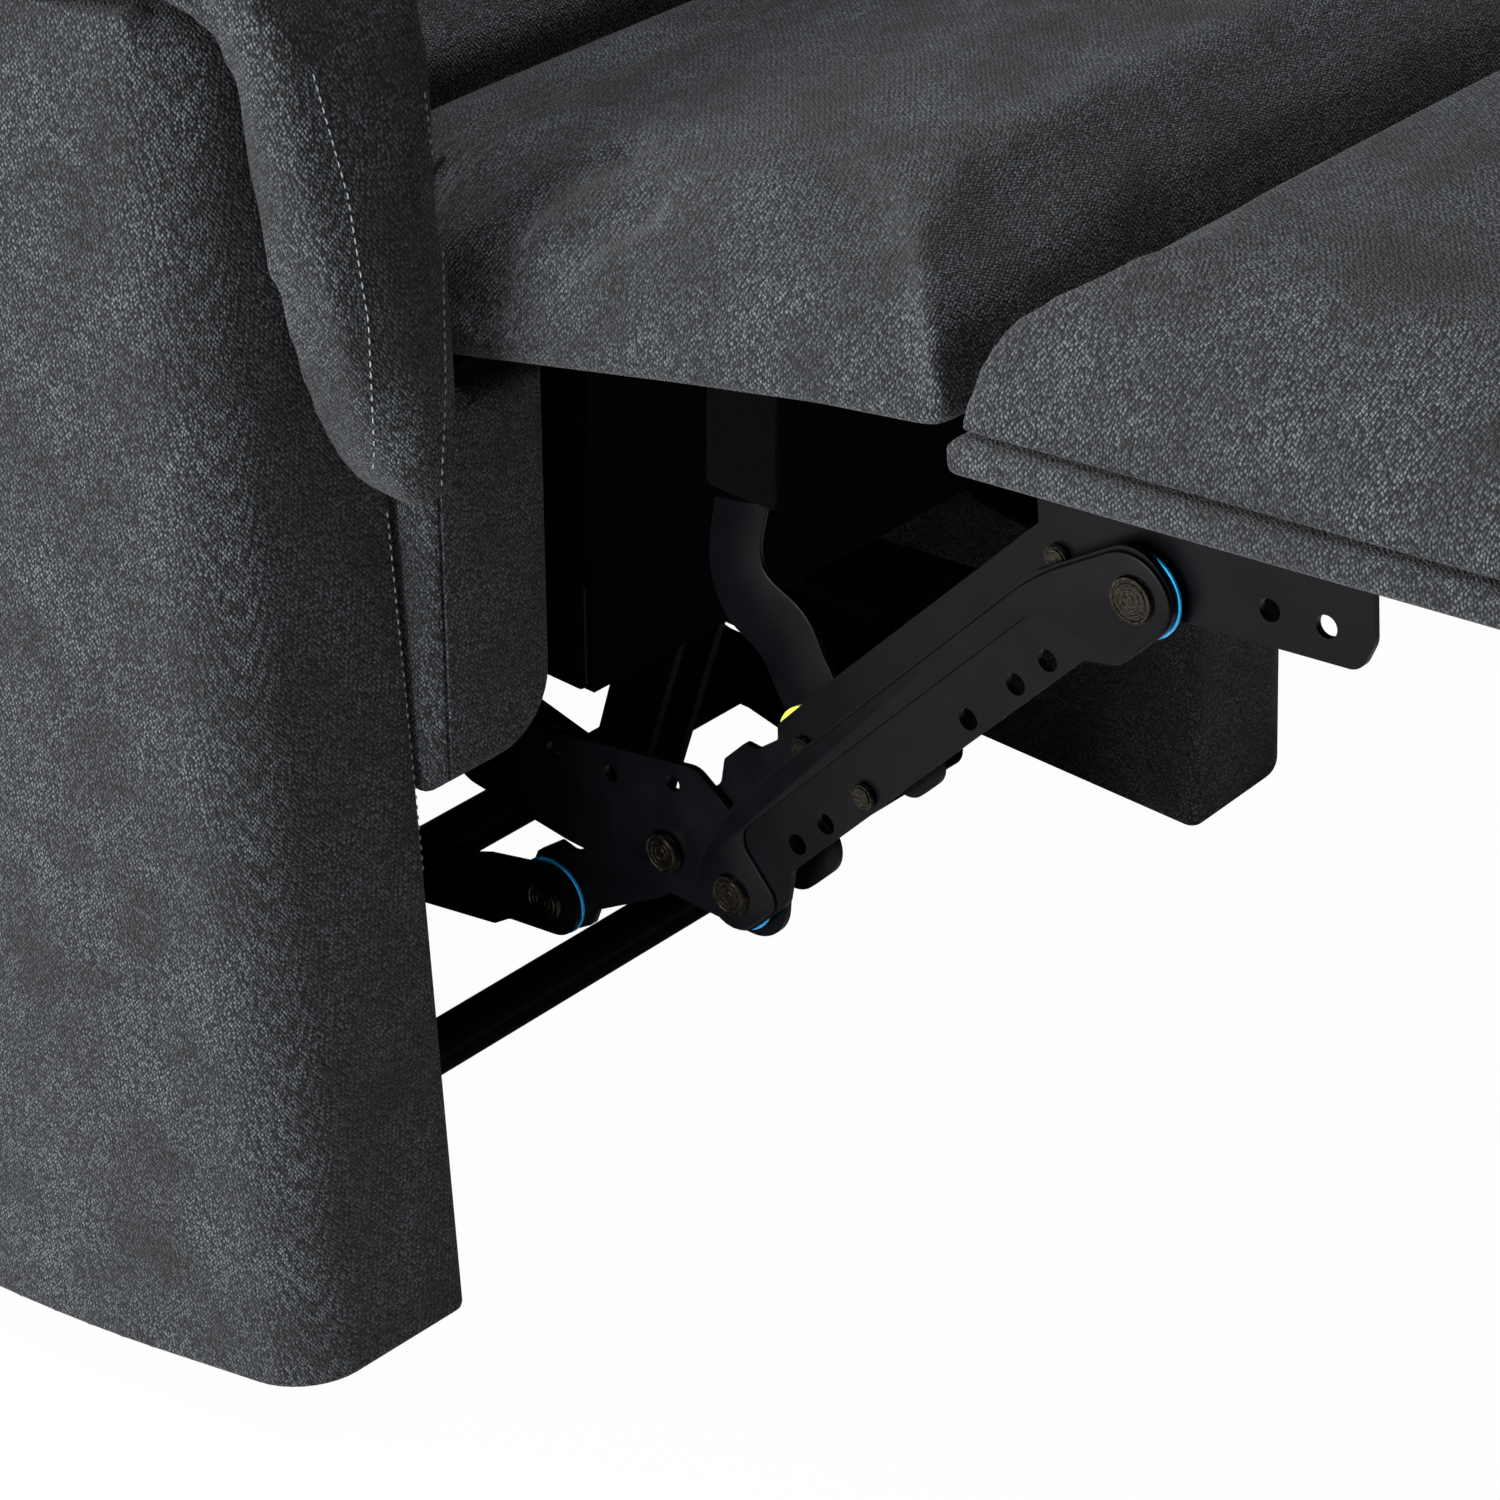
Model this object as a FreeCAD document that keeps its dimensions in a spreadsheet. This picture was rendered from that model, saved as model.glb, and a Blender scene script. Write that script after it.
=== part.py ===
import FreeCAD, Part
import math
import os

# Lift recliner chair, in millimetres.
# X runs across the chair, Y runs from front to back and Z is up from the floor.
# Places are worked out as "ahead" of the arm fronts and "up" from the floor,
# and the whole chair is set over the middle of its footprint at the end.

SIZES = [
    ("seat_width", 510.0, "between the inner faces of the arms"),
    ("arm_gap", 25.0, "floor to the underside of the arms"),
    ("arm_height", 595.0, "arm body, underside to top"),
    ("arm_length", 690.0, "arm body, front to back at the underside"),
    ("arm_thick", 134.0, "arm body at its thickest"),
    ("arm_front_thick", 89.0, "arm body across its front face"),
    ("arm_lean", 44.0, "how far the top of the arm front is set back"),
    ("arm_flare", 165.0, "length over which the arm grows to full thickness"),
    ("arm_nose", 5.0, "how far the padded arm front stands ahead of its corner"),
    ("pad_thick", 50.0, "arm pillow on top of the arm"),
    ("pad_over", 7.0, "arm pillow past the side of the arm"),
    ("tongue_drop", 189.0, "arm pillow hanging down the arm front"),
    ("tongue_thick", 47.0, "arm pillow in front of the arm"),
    ("arm_bevel", 20.0, "arm body's top front edge"),
    ("soft_gap", 0.4, "soft piece to what carries it"),
    ("slide_gap", 0.1, "flat faces that slide on each other"),
    ("fit_gap", 0.05, "radial clearance of a pin in its hole"),
    ("plate_thick", 3.0, "linkage plates"),
    ("washer_thick", 1.0, "plastic washers"),
    ("link_inset", 84.0, "arm face to the outer face of the drive link"),
    ("outer_inset", 76.0, "arm face to the outer face of the outer link"),
    ("rivet_head", 9.5, "radius of a pivot rivet's head"),
    ("rivet_high", 3.4, "height of a pivot rivet's head"),
    ("rivet_shank", 5.0, "radius of a pivot rivet's shank"),
    ("stud_head", 5.5, "radius of a small rivet's head"),
    ("washer_edge", 17.5, "radius of a washer"),
    ("hole_edge", 4.5, "radius of the punched holes"),
    ("small_rivet_far", 101.0, "small rivet along the outer link from its lower pivot"),
    ("fold_pin_ahead", -94.1, "drive tube axis"),
    ("fold_pin_up", 261.0, "drive tube axis"),
    ("guide_pin_ahead", -192.8, "rear pivot of the guide link"),
    ("guide_pin_up", 154.1, "rear pivot of the guide link"),
    ("outer_low_ahead", 86.0, "outer link to drive link"),
    ("outer_low_up", 232.8, "outer link to drive link"),
    ("outer_high_ahead", 277.4, "outer link to footrest bracket"),
    ("outer_high_up", 439.2, "outer link to footrest bracket"),
    ("inner_mid_ahead", 42.0, "inner link to drive link"),
    ("inner_mid_up", 230.8, "inner link to drive link"),
    ("inner_high_ahead", 237.0, "inner link to footrest bracket"),
    ("inner_high_up", 437.6, "inner link to footrest bracket"),
    ("inner_low_ahead", -27.2, "inner link to guide link"),
    ("inner_low_up", 177.7, "inner link to guide link"),
    ("prop_pin_ahead", 113.0, "pad prop on the inner link"),
    ("prop_pin_up", 306.0, "pad prop on the inner link"),
    ("crank_pin_ahead", -140.0, "footrest actuator on the crank"),
    ("crank_pin_up", 107.0, "footrest actuator on the crank"),
    ("tube_edge", 12.5, "radius of the chassis tubes"),
    ("tube_wall", 2.0, "wall of the chassis tubes"),
    ("journal_edge", 8.0, "radius of the drive tube's ends"),
    ("front_tube_edge", 12.0, "radius of the low front tube"),
    ("front_tube_ahead", -133.5, "low front tube of the base"),
    ("front_tube_up", 35.0, "low front tube of the base"),
    ("base_front", -145.6, "front end of the base rails"),
    ("base_long", 494.4, "length of the base rails"),
    ("base_rail_wide", 25.0, "base rail across"),
    ("base_rail_high", 24.0, "base rail section height"),
    ("base_rail_inset", 30.0, "arm face to the base rail"),
    ("glide_high", 23.0, "glides under the base rails"),
    ("glide_set_back", 65.0, "front glide behind the rail end"),
    ("glide_edge", 18.0, "radius of a glide"),
    ("lift_plate", 6.0, "lift arm plates"),
    ("lift_pin_edge", 8.0, "radius of the lift pins"),
    ("lift_half_wide", 17.0, "half width of a lift arm"),
    ("front_lift_base_ahead", -163.1, "front lift arm on the base"),
    ("front_lift_base_up", 76.6, "front lift arm on the base"),
    ("rear_lift_base_ahead", -200.0, "rear lift arm on the base"),
    ("rear_lift_base_up", 40.0, "rear lift arm on the base"),
    ("front_lift_seat_ahead", -330.0, "front lift arm on the seat chassis"),
    ("front_lift_seat_up", 112.0, "front lift arm on the seat chassis"),
    ("rear_lift_seat_ahead", -560.0, "rear lift arm on the seat chassis"),
    ("rear_lift_seat_up", 112.0, "rear lift arm on the seat chassis"),
    ("box_front_ahead", -12.0, "front face of the seat box"),
    ("box_front_up", 277.6, "lower edge of the seat box front"),
    ("box_top_up", 440.0, "top of the seat box"),
    ("box_back_ahead", -520.0, "back of the seat box"),
    ("wood_thick", 20.0, "seat box boards"),
    ("rail_low_up", 335.0, "lower edge of the side and rear boards"),
    ("facing_wide", 66.0, "fabric facing beside the footrest linkage"),
    ("facing_thick", 14.0, "fabric facing, front to back"),
    ("side_gap", 4.0, "arm face to the seat box"),
    ("pad_inset", 15.0, "arm face to the seat and footrest pads"),
    ("seat_split_ahead", -103.0, "crease between the seat cushion and the front pad"),
    ("seat_back_ahead", -540.0, "back end of the seat cushion"),
    ("chaise_up", 457.7, "underside of the front pad at the arm fronts"),
    ("seat_up", 444.4, "underside of the seat cushion"),
    ("seat_thick", 78.0, "seat cushion at its crown"),
    ("chaise_end_ahead", 229.0, "front end of the front pad"),
    ("chaise_slope", 12.7, "rise of the front pad's underside, degrees"),
    ("chaise_thick", 74.0, "front pad at its crown"),
    ("rest_end_gap", 5.0, "groove between the front pad and the footrest pad"),
    ("rest_slope", 5.6, "rise of the footrest board, degrees"),
    ("rest_under_up", 497.8, "rear lower edge of the footrest board"),
    ("rest_long", 322.0, "footrest board, front to back"),
    ("rest_board_thick", 13.0, "footrest board with its cover"),
    ("rest_pad_thick", 60.0, "footrest pad at its crown"),
    ("bracket_flange", 22.0, "footrest bracket under the board"),
    ("back_pin_ahead", -575.0, "back hinge"),
    ("back_pin_up", 430.0, "back hinge"),
    ("back_lean", 14.0, "back from upright, degrees"),
    ("back_high", 640.0, "back above its hinge"),
    ("back_drop", 22.0, "back frame below its hinge"),
    ("back_wide", 490.0, "back across"),
    ("back_post", 35.0, "back frame posts"),
    ("back_pad_thick", 120.0, "back cushions at their crown"),
    ("back_skin_thick", 22.0, "upholstered outer back"),
    ("lumbar_low", 100.0, "lower edge of the lower back cushion above the hinge"),
    ("lumbar_high", 285.0, "upper edge of the lower back cushion above the hinge"),
    ("shoulder_high", 455.0, "upper edge of the middle back cushion above the hinge"),
    ("cushion_gap", 2.0, "between two back cushions"),
    ("lever_ahead", -612.0, "back actuator on the back lever"),
    ("lever_up", 310.0, "back actuator on the back lever"),
    ("front_cross_ahead", -290.0, "front cross tube of the chassis"),
    ("front_cross_up", 265.0, "front cross tube of the chassis"),
    ("rear_cross_ahead", -560.0, "rear cross tube of the chassis"),
    ("rear_cross_up", 190.0, "rear cross tube of the chassis"),
    ("base_tail_ahead", -610.0, "rear tube of the base"),
    ("base_tail_up", 40.0, "rear tube of the base"),
    ("motor_off", 82.0, "outer actuators from the middle of the chair"),
    ("rod_edge", 10.0, "radius of an actuator's push rod"),
    ("case_edge", 17.0, "radius of an actuator's outer tube"),
    ("motor_wide", 50.0, "actuator motor housing across"),
    ("motor_high", 92.0, "actuator motor housing height"),
    ("motor_long", 74.0, "actuator motor housing along its axis"),
    ("eye_edge", 13.0, "radius of an actuator's eyes"),
    ("actuator_pin_edge", 5.0, "radius of an actuator's pins"),
    ("ear_thick", 5.0, "ears for the actuators"),
    ("ear_gap", 22.0, "between a pair of ears"),
    ("pocket_ahead", -310.0, "front edge of the side pockets"),
    ("pocket_up", 340.0, "bottom of the side pockets"),
    ("pocket_long", 180.0, "side pocket, front to back"),
    ("pocket_high", 120.0, "side pocket height"),
    ("pocket_thick", 22.0, "side pocket from the arm"),
    ("pocket_wall", 3.0, "side pocket cloth"),
    ("handset_wide", 52.0, "handset across"),
    ("handset_long", 158.0, "handset height"),
    ("handset_thick", 14.0, "handset thickness"),
    ("button_high", 9.0, "handset button"),
    ("button_wide", 14.0, "handset button"),
    ("button_proud", 2.0, "handset button above the case"),
    ("button_deep", 4.0, "depth of the handset's button wells"),
    ("button_travel", 1.2, "handset button travel"),
    ("stud_shank", 4.0, "radius of a small rivet's shank"),
    ("rod_slack", 0.5, "radial clearance in a push rod's eye"),
    ("prop_head_up", 400.0, "lower edge of the padded heads of the props"),
    ("footrest_stroke", 122.0, "footrest actuator, drawn in from here"),
    ("back_stroke", 76.0, "back actuator, drawn in from here"),
    ("rod_seat", 36.0, "dead length of an actuator behind its rod"),
    ("spring_wire", 1.9, "radius of the seat spring wire"),
    ("spring_pitch", 24.0, "half a wave of a seat spring"),
    ("spring_sway", 14.0, "half width of the straight part of a wave"),
]

V = FreeCAD.Vector
doc = FreeCAD.newDocument("LiftRecliner")
sheet = doc.addObject("Spreadsheet::Sheet", "Sizes")
for row, (alias, number, note) in enumerate(SIZES, start=1):
    sheet.set("A%d" % row, alias)
    sheet.set("B%d" % row, str(number))
    sheet.set("C%d" % row, note)
    sheet.setAlias("B%d" % row, alias)
doc.recompute()

finished = []


def size(alias):
    """A driving dimension, as the sheet holds it."""
    return float(sheet.get(alias))


def pin(name):
    """The place of a pivot in the side view, as (ahead, up)."""
    return (size(name + "_ahead"), size(name + "_up"))


def at(x, place):
    """A point from a distance across the chair and an (ahead, up) place."""
    return V(x, -place[0], place[1])


def finish(label, thing):
    """Give a sub-part its name and put it on the list."""
    thing.Label = label
    finished.append((label, thing))
    return thing


def bind(thing, **sizes):
    """Tie an object's properties to cells of the sheet."""
    for prop, cell in sizes.items():
        thing.setExpression(prop, cell)
    return thing


def block(name, corner, length, width, height, tilt=0.0):
    """A box on its lowest corner, tilted about its long X edge."""
    box = doc.addObject("Part::Box", name)
    for prop, value in (("Length", length), ("Width", width), ("Height", height)):
        if isinstance(value, str):
            box.setExpression(prop, value)
        else:
            setattr(box, prop, value)
    box.Placement = FreeCAD.Placement(corner, FreeCAD.Rotation(V(1, 0, 0), tilt))
    return box


def rod(name, start, end, radius):
    """A round bar between two points; the radius is a cell or a number."""
    bar = doc.addObject("Part::Cylinder", name)
    if isinstance(radius, str):
        bar.setExpression("Radius", radius)
    else:
        bar.Radius = radius
    run = end.sub(start)
    bar.Height = run.Length
    bar.Placement = FreeCAD.Placement(start, FreeCAD.Rotation(V(0, 0, 1), run))
    return bar


def cross(name, place, start, end, radius):
    """A round bar across the chair, at a place of the side view."""
    return rod(name, at(start, place), at(end, place), radius)


def join(name, pieces):
    whole = doc.addObject("Part::MultiFuse", name)
    whole.Shapes = pieces
    return whole


def cut(name, base, tool):
    rest = doc.addObject("Part::Cut", name)
    rest.Base = base
    rest.Tool = tool
    return rest


def group(name, pieces):
    """Like pieces that share one node, as separate solids."""
    several = doc.addObject("Part::Compound", name)
    several.Links = pieces
    return several


def mirrored(thing):
    """The same piece for the other side of the chair."""
    other = doc.addObject("Part::Mirroring", thing.Name + "_other")
    other.Source = thing
    other.Normal = V(1, 0, 0)
    other.Base = V(0, 0, 0)
    return other


def pair(label, thing):
    """A right-hand piece and its mirror image in one node."""
    return finish(label, group(label, [thing, mirrored(thing)]))


def from_arm(inset):
    """X of a point that lies this far inside the right arm's inner face."""
    return inset - size("seat_width") / 2


# Sketched plates

def rounded(corners):
    """Lines and tangent arcs of an outline whose corners are (a, b, radius)."""
    count = len(corners)
    cuts = []
    for k in range(count):
        here = V(corners[k][0], corners[k][1], 0)
        back = V(*corners[k - 1][:2], 0).sub(here)
        on = V(*corners[(k + 1) % count][:2], 0).sub(here)
        half = back.getAngle(on) / 2
        trim = corners[k][2] / math.tan(half)
        trim = min(trim, 0.49 * back.Length, 0.49 * on.Length)
        radius = trim * math.tan(half)
        back.normalize()
        on.normalize()
        middle = back.add(on)
        middle.normalize()
        centre = here.add(middle.multiply(radius / math.sin(half)))
        top = here.sub(centre)
        top.normalize()
        cuts.append((here + back * trim, centre + top * radius, here + on * trim, radius))
    pieces = []
    for k in range(count):
        start, top, end, radius = cuts[k]
        if radius > 0.05 and end.sub(start).Length > 0.05:
            pieces.append(Part.Arc(start, top, end))
        following = cuts[(k + 1) % count][0]
        if following.sub(end).Length > 0.001:
            pieces.append(Part.LineSegment(end, following))
    return pieces


def origin_plane(body, role):
    return next(f for f in body.Origin.OriginFeatures if f.Role == role)


def sketch_on(body, name, role):
    sketch = body.newObject("Sketcher::SketchObject", name)
    sketch.AttachmentSupport = [(origin_plane(body, role), "")]
    sketch.MapMode = "FlatFace"
    return sketch


def plate(name, corners, holes, inset, thick="plate_thick"):
    """A stamped plate in the side view: corners and holes as (ahead, up, radius)."""
    body = doc.addObject("PartDesign::Body", name)
    outline = sketch_on(body, name + "_outline", "YZ_Plane")
    for piece in rounded([(-a, u, r) for a, u, r in corners]):
        outline.addGeometry(piece, False)
    pad = body.newObject("PartDesign::Pad", name + "_pad")
    pad.Profile = outline
    pad.setExpression("Length", "Sizes." + thick)
    if holes:
        marks = sketch_on(body, name + "_holes", "YZ_Plane")
        for ahead, up, radius in holes:
            centre = V(-ahead, up, 0)
            marks.addGeometry(Part.Circle(centre, V(0, 0, 1), radius), False)
        pocket = body.newObject("PartDesign::Pocket", name + "_pocket")
        pocket.Profile = marks
        pocket.Type = "ThroughAll"
        pocket.Reversed = True
        outline.Visibility = False
    body.Placement.Base = V(from_arm(inset), 0, 0)
    return body


def along(start, end):
    """Places measured along and square to the line between two pivots."""
    run = V(end[0] - start[0], end[1] - start[1], 0)
    span = run.Length
    run.normalize()

    def place(far, side, radius=0.0):
        x = start[0] + far * run.x - side * run.y
        y = start[1] + far * run.y + side * run.x
        return (x, y, radius)

    return place, span


def hole(name, radius):
    ahead, up = pin(name)
    return (ahead, up, radius)


def bore():
    return size("rivet_shank") + size("fit_gap")


# Footrest linkage, right side first and then mirrored

def outer_links():
    """The long link nearest the arm, with its row of punched holes."""
    place, span = along(pin("outer_low"), pin("outer_high"))
    end = 16.5
    low = -7.0
    high = 29.5
    corners = [
        place(-end, -end, end), place(24, -end, 8), place(38, low, 6),
        place(span - 40, low, 6), place(span - 26, -end, 8), place(span + end, -end, end),
        place(span + end, end, end), place(span - 36, high, 14), place(34, high, 16),
        place(-end, end, end),
    ]
    marks = [hole("outer_low", size("rivet_shank")), hole("outer_high", size("rivet_shank"))]
    marks.append(place(size("small_rivet_far"), 0.5, size("stud_shank")))
    for far in (50.0, 71.0, 173.0, 205.0, 226.0):
        marks.append(place(far, 0.5, size("hole_edge")))
    pair("footrest_outer_links", plate("outer_link", corners, marks, size("outer_inset")))


def drive_links():
    """The link on the drive tube that swings the footrest out."""
    tube = pin("fold_pin")
    end = pin("outer_low")
    corners = [
        (tube[0] - 20, tube[1] - 18, 18), (tube[0] - 20, tube[1] + 20, 20),
        (tube[0] + 22, tube[1] + 20, 16), (-29, 260.5, 10), (58, 276, 10),
        (80, 262, 10), (end[0] + 22, end[1] + 14, 16), (end[0] + 20, end[1] - 22, 20),
        (60, 210.7, 30), (-14, 212, 30), (-72, 218, 16),
    ]
    marks = [hole("fold_pin", size("journal_edge")), hole("outer_low", bore())]
    marks.append(hole("inner_mid", bore()))
    for ahead, up in ((-21.6, 253.3), (11.1, 255.0), (45.5, 264.3)):
        marks.append((ahead, up, size("hole_edge") - 0.8))
    pair("footrest_drive_links", plate("drive_link", corners, marks, size("link_inset")))


def inner_inset():
    return size("link_inset") + size("plate_thick") + size("washer_thick")


def inner_links():
    """The long notched link behind the outer one, down to the guide link."""
    place, span = along(pin("inner_mid"), pin("inner_high"))
    low_place, reach = along(pin("inner_mid"), pin("inner_low"))
    corners = [
        place(span + 15, -15, 15), place(span + 15, 15, 15), place(240, 15, 8),
        place(142, 15, 14), place(97, 14, 3), place(92, 9, 3),
        place(78, 11, 3), place(74, 16, 3), place(58, 16, 4), place(48, 9, 6), place(14, 12, 8),
        low_place(reach - 26, -13, 6), low_place(reach - 20, -20, 2), low_place(reach - 4, -20, 2),
        low_place(reach + 3, -16, 6), low_place(reach + 17, -8, 10), low_place(reach + 15, 16, 16),
        low_place(reach - 14, 18, 5), low_place(reach - 22, 13, 6), low_place(22, 18, 12),
        place(24, -18, 10), place(40, -24, 6), place(52, -46, 14), place(87, -46, 14),
        place(90, -20, 6), place(132, -18, 6), place(138, -41.5, 10), place(164, -41.5, 10),
        place(168, -16, 6),
    ]
    marks = [hole(name, size("rivet_shank")) for name in ("inner_mid", "prop_pin", "inner_low")]
    marks.append(hole("inner_high", size("stud_shank") + size("fit_gap")))
    pair("footrest_inner_links", plate("inner_link", corners, marks, inner_inset()))


def guide_links():
    """The low link from the chassis to the inner link's lower end."""
    place, reach = along(pin("guide_pin"), pin("inner_low"))
    corners = [
        place(-15, -16, 15), place(reach * 0.35, -25, 12), place(reach - 36, -22, 6),
        place(reach - 26, -17, 6), place(reach + 17, -17, 16), place(reach + 17, 17, 16),
        place(reach - 34, 12, 8), place(reach - 46, 9, 10), place(reach * 0.3, 13, 12),
        place(-15, 15, 15),
    ]
    marks = [hole("guide_pin", bore()), hole("inner_low", size("rivet_shank"))]
    pair("footrest_guide_links", plate("guide_link", corners, marks, size("link_inset")))


def props():
    """The S-shaped props whose wide heads hold up the front pad."""
    foot = pin("prop_pin")
    top = size("prop_head_up")
    rear, front = foot[0] - 54, foot[0] - 27
    far = front + 7
    gap = 6 * size("soft_gap")
    corners = [
        (foot[0] - 13, foot[1] - 13, 12.9), (foot[0] + 13, foot[1] - 13, 12.9),
        (foot[0] + 13, foot[1] + 34, 6), (foot[0] + 3, foot[1] + 40, 8),
        (foot[0] - 2, foot[1] + 58, 9), (front, foot[1] + 63, 8), (front, top, 2),
        (far, top, 4), (far, chaise_under(far) - gap, 3), (rear, chaise_under(rear) - gap, 3),
        (rear, top, 16), (rear - 3, foot[1] + 52, 16), (rear + 7, foot[1] + 36, 10),
        (foot[0] - 29, foot[1] + 32, 8), (foot[0] - 23, foot[1] + 16, 8),
    ]
    inset = inner_inset() + size("plate_thick") + size("washer_thick")
    marks = [hole("prop_pin", bore())]
    pair("pad_props", plate("pad_prop", corners, marks, inset))


def rest_place(far, high=0.0):
    """A place measured along the footrest board from its rear lower edge."""
    slope = math.radians(size("rest_slope"))
    rear = size("chaise_end_ahead") + size("rest_end_gap") + 4.0
    ahead = rear + far * math.cos(slope) - high * math.sin(slope)
    up = size("rest_under_up") + far * math.sin(slope) + high * math.cos(slope)
    return (ahead, up)


def brackets():
    """The angle brackets that carry the footrest board."""
    start, end = -16.0, 130.0
    drop = -(size("plate_thick") + size("slide_gap"))
    top_rear = rest_place(start, drop + 1)
    top_front = rest_place(end, drop + 1)
    low_rear = rest_place(start, -72)
    low_front = rest_place(end - 6, -70)
    tip = rest_place(end, -58)
    corners = [
        (*low_rear, 4), (*low_front, 8), (*tip, 10), (*top_front, 1), (*top_rear, 1),
    ]
    marks = [hole("inner_high", size("stud_shank")), hole("outer_high", size("hole_edge"))]
    for far in (86.0, 110.0):
        marks.append((*rest_place(far, -56.5), size("hole_edge")))
    web = plate("bracket_web", corners, marks, size("link_inset"))
    lip = doc.addObject("Part::Box", "bracket_lip")
    bind(lip, Length="Sizes.bracket_flange", Height="Sizes.plate_thick")
    lip.Width = end - start
    turn = FreeCAD.Rotation(V(1, 0, 0), -size("rest_slope"))
    corner = at(from_arm(size("link_inset")), rest_place(end, drop))
    lip.Placement = FreeCAD.Placement(corner, turn)
    pair("footrest_brackets", join("bracket", [web, lip]))


def rivet(name, place, head_from, tail_at, head="rivet_head", shank="rivet_shank"):
    """A headed rivet: stepped head outside, shank through the stack, low tail."""
    front = from_arm(head_from)
    back = from_arm(tail_at)
    high = size("rivet_high")
    pieces = [
        cross(name + "_head", place, front - high * 0.6, front, "Sizes." + head),
        cross(name + "_crown", place, front - high, front, size(head) * 0.72),
        cross(name + "_shank", place, front - 0.5, back, "Sizes." + shank),
    ]
    return join(name, pieces)


def tailed(name, place, head_from, tail_at, head="rivet_head", shank="rivet_shank"):
    """A rivet whose tail is spread over the last plate, one sliding gap away."""
    start = from_arm(tail_at) + size("slide_gap")
    whole = rivet(name + "_body", place, head_from, tail_at + 0.5, head, shank)
    tail = cross(name + "_tail", place, start, start + 0.75, size(head) * 0.78)
    return join(name, [whole, tail])


def ring(name, place, start, end, edge):
    """A flat ring on a rivet's shank, between two insets."""
    disc = cross(name + "_disc", place, from_arm(start), from_arm(end), edge)
    eye = cross(name + "_eye", place, from_arm(start) - 1, from_arm(end) + 1, "Sizes.rivet_shank")
    return cut(name, disc, eye)


def rivets_and_washers():
    """The pivots, each on the link that carries its rivet."""
    link = size("link_inset")
    outer = size("outer_inset")
    thick = size("plate_thick")
    inner = inner_inset()
    gap = size("slide_gap")
    seat = outer + thick + size("washer_thick")
    low = tailed("rivet_outer_low", pin("outer_low"), outer, link + thick)
    high = rivet("rivet_outer_high", pin("outer_high"), outer, link - gap)
    along_link = along(pin("outer_low"), pin("outer_high"))[0]
    small = rivet("rivet_outer_small", along_link(size("small_rivet_far"), 0.5)[:2], outer,
                  outer + thick, "stud_head", "stud_shank")
    low_collar = ring("collar_low", pin("outer_low"), seat, link - gap, 9.0)
    high_collar = ring("collar_high", pin("outer_high"), seat, link - gap, 9.0)
    parts = [low, high, small, low_collar, high_collar]
    finish("outer_link_rivets", group("outer_link_rivets", parts + [mirrored(p) for p in parts]))
    edge = size("washer_edge")
    first = ring("washer_low", pin("outer_low"), outer + thick, seat, edge)
    second = ring("washer_high", pin("outer_high"), outer + thick, seat, edge)
    parts = [first, second]
    finish("outer_link_washers", group("outer_link_washers", parts + [mirrored(p) for p in parts]))
    mid = rivet("rivet_inner_mid", pin("inner_mid"), link - gap, inner + thick)
    prop = tailed("rivet_prop", pin("prop_pin"), inner, 2 * thick + inner + size("washer_thick"),
                  "stud_head")
    parts = [mid, prop]
    finish("inner_link_rivets", group("inner_link_rivets", parts + [mirrored(p) for p in parts]))
    mid = ring("washer_mid", pin("inner_mid"), link + thick + gap, inner, edge)
    prop = ring("washer_prop", pin("prop_pin"), inner + thick,
                inner + thick + size("washer_thick") - gap, edge - 1.5)
    parts = [mid, prop]
    finish("inner_link_washers", group("inner_link_washers", parts + [mirrored(p) for p in parts]))
    guide = rivet("rivet_inner_low", pin("inner_low"), link, inner - gap)
    washer = ring("washer_guide", pin("inner_low"), link + thick, inner - gap, edge)
    parts = [guide, washer]
    finish("guide_link_rivets", group("guide_link_rivets", parts + [mirrored(p) for p in parts]))


def drive_tube():
    """The tube that turns both drive links, with the actuator's crank in the middle."""
    place = pin("fold_pin")
    inner_face = from_arm(size("link_inset") + 3 * size("plate_thick") + 3 * size("washer_thick"))
    wall = inner_face + size("plate_thick") + 4 * size("slide_gap")
    journal_end = from_arm(size("link_inset"))
    tube = cross("drive_barrel", place, wall, -wall, "Sizes.tube_edge")
    shaft = cross("drive_journals", place, journal_end, -journal_end, "Sizes.journal_edge")
    ears = []
    half = size("ear_gap") / 2
    knee = pin("crank_pin")
    line, reach = along(place, knee)
    corners = [
        line(-14, -16, 14), line(30, -17, 10), line(reach - 26, -16, 6), line(reach - 20, -13, 4),
        line(reach + 13, -13, 12), line(reach + 13, 13, 12), line(30, 15, 10), line(-14, 16, 14),
    ]
    for side, start in (("right", -half - size("ear_thick")), ("left", half)):
        ear = plate("crank_" + side, corners, [], 0.0, "ear_thick")
        ear.Placement.Base = V(start, 0, 0)
        ears.append(ear)
        outside = start if start < 0 else start + size("ear_thick")
        away = -3.0 if start < 0 else 3.0
        ears.append(cross("crank_head_" + side, knee, outside, outside + away, 8.0))
    finish("drive_tube", join("drive_tube", [tube, shaft] + ears))


# Chassis under the seat

def plate_inset():
    return size("link_inset") + 3 * size("plate_thick") + 3 * size("washer_thick")


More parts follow.
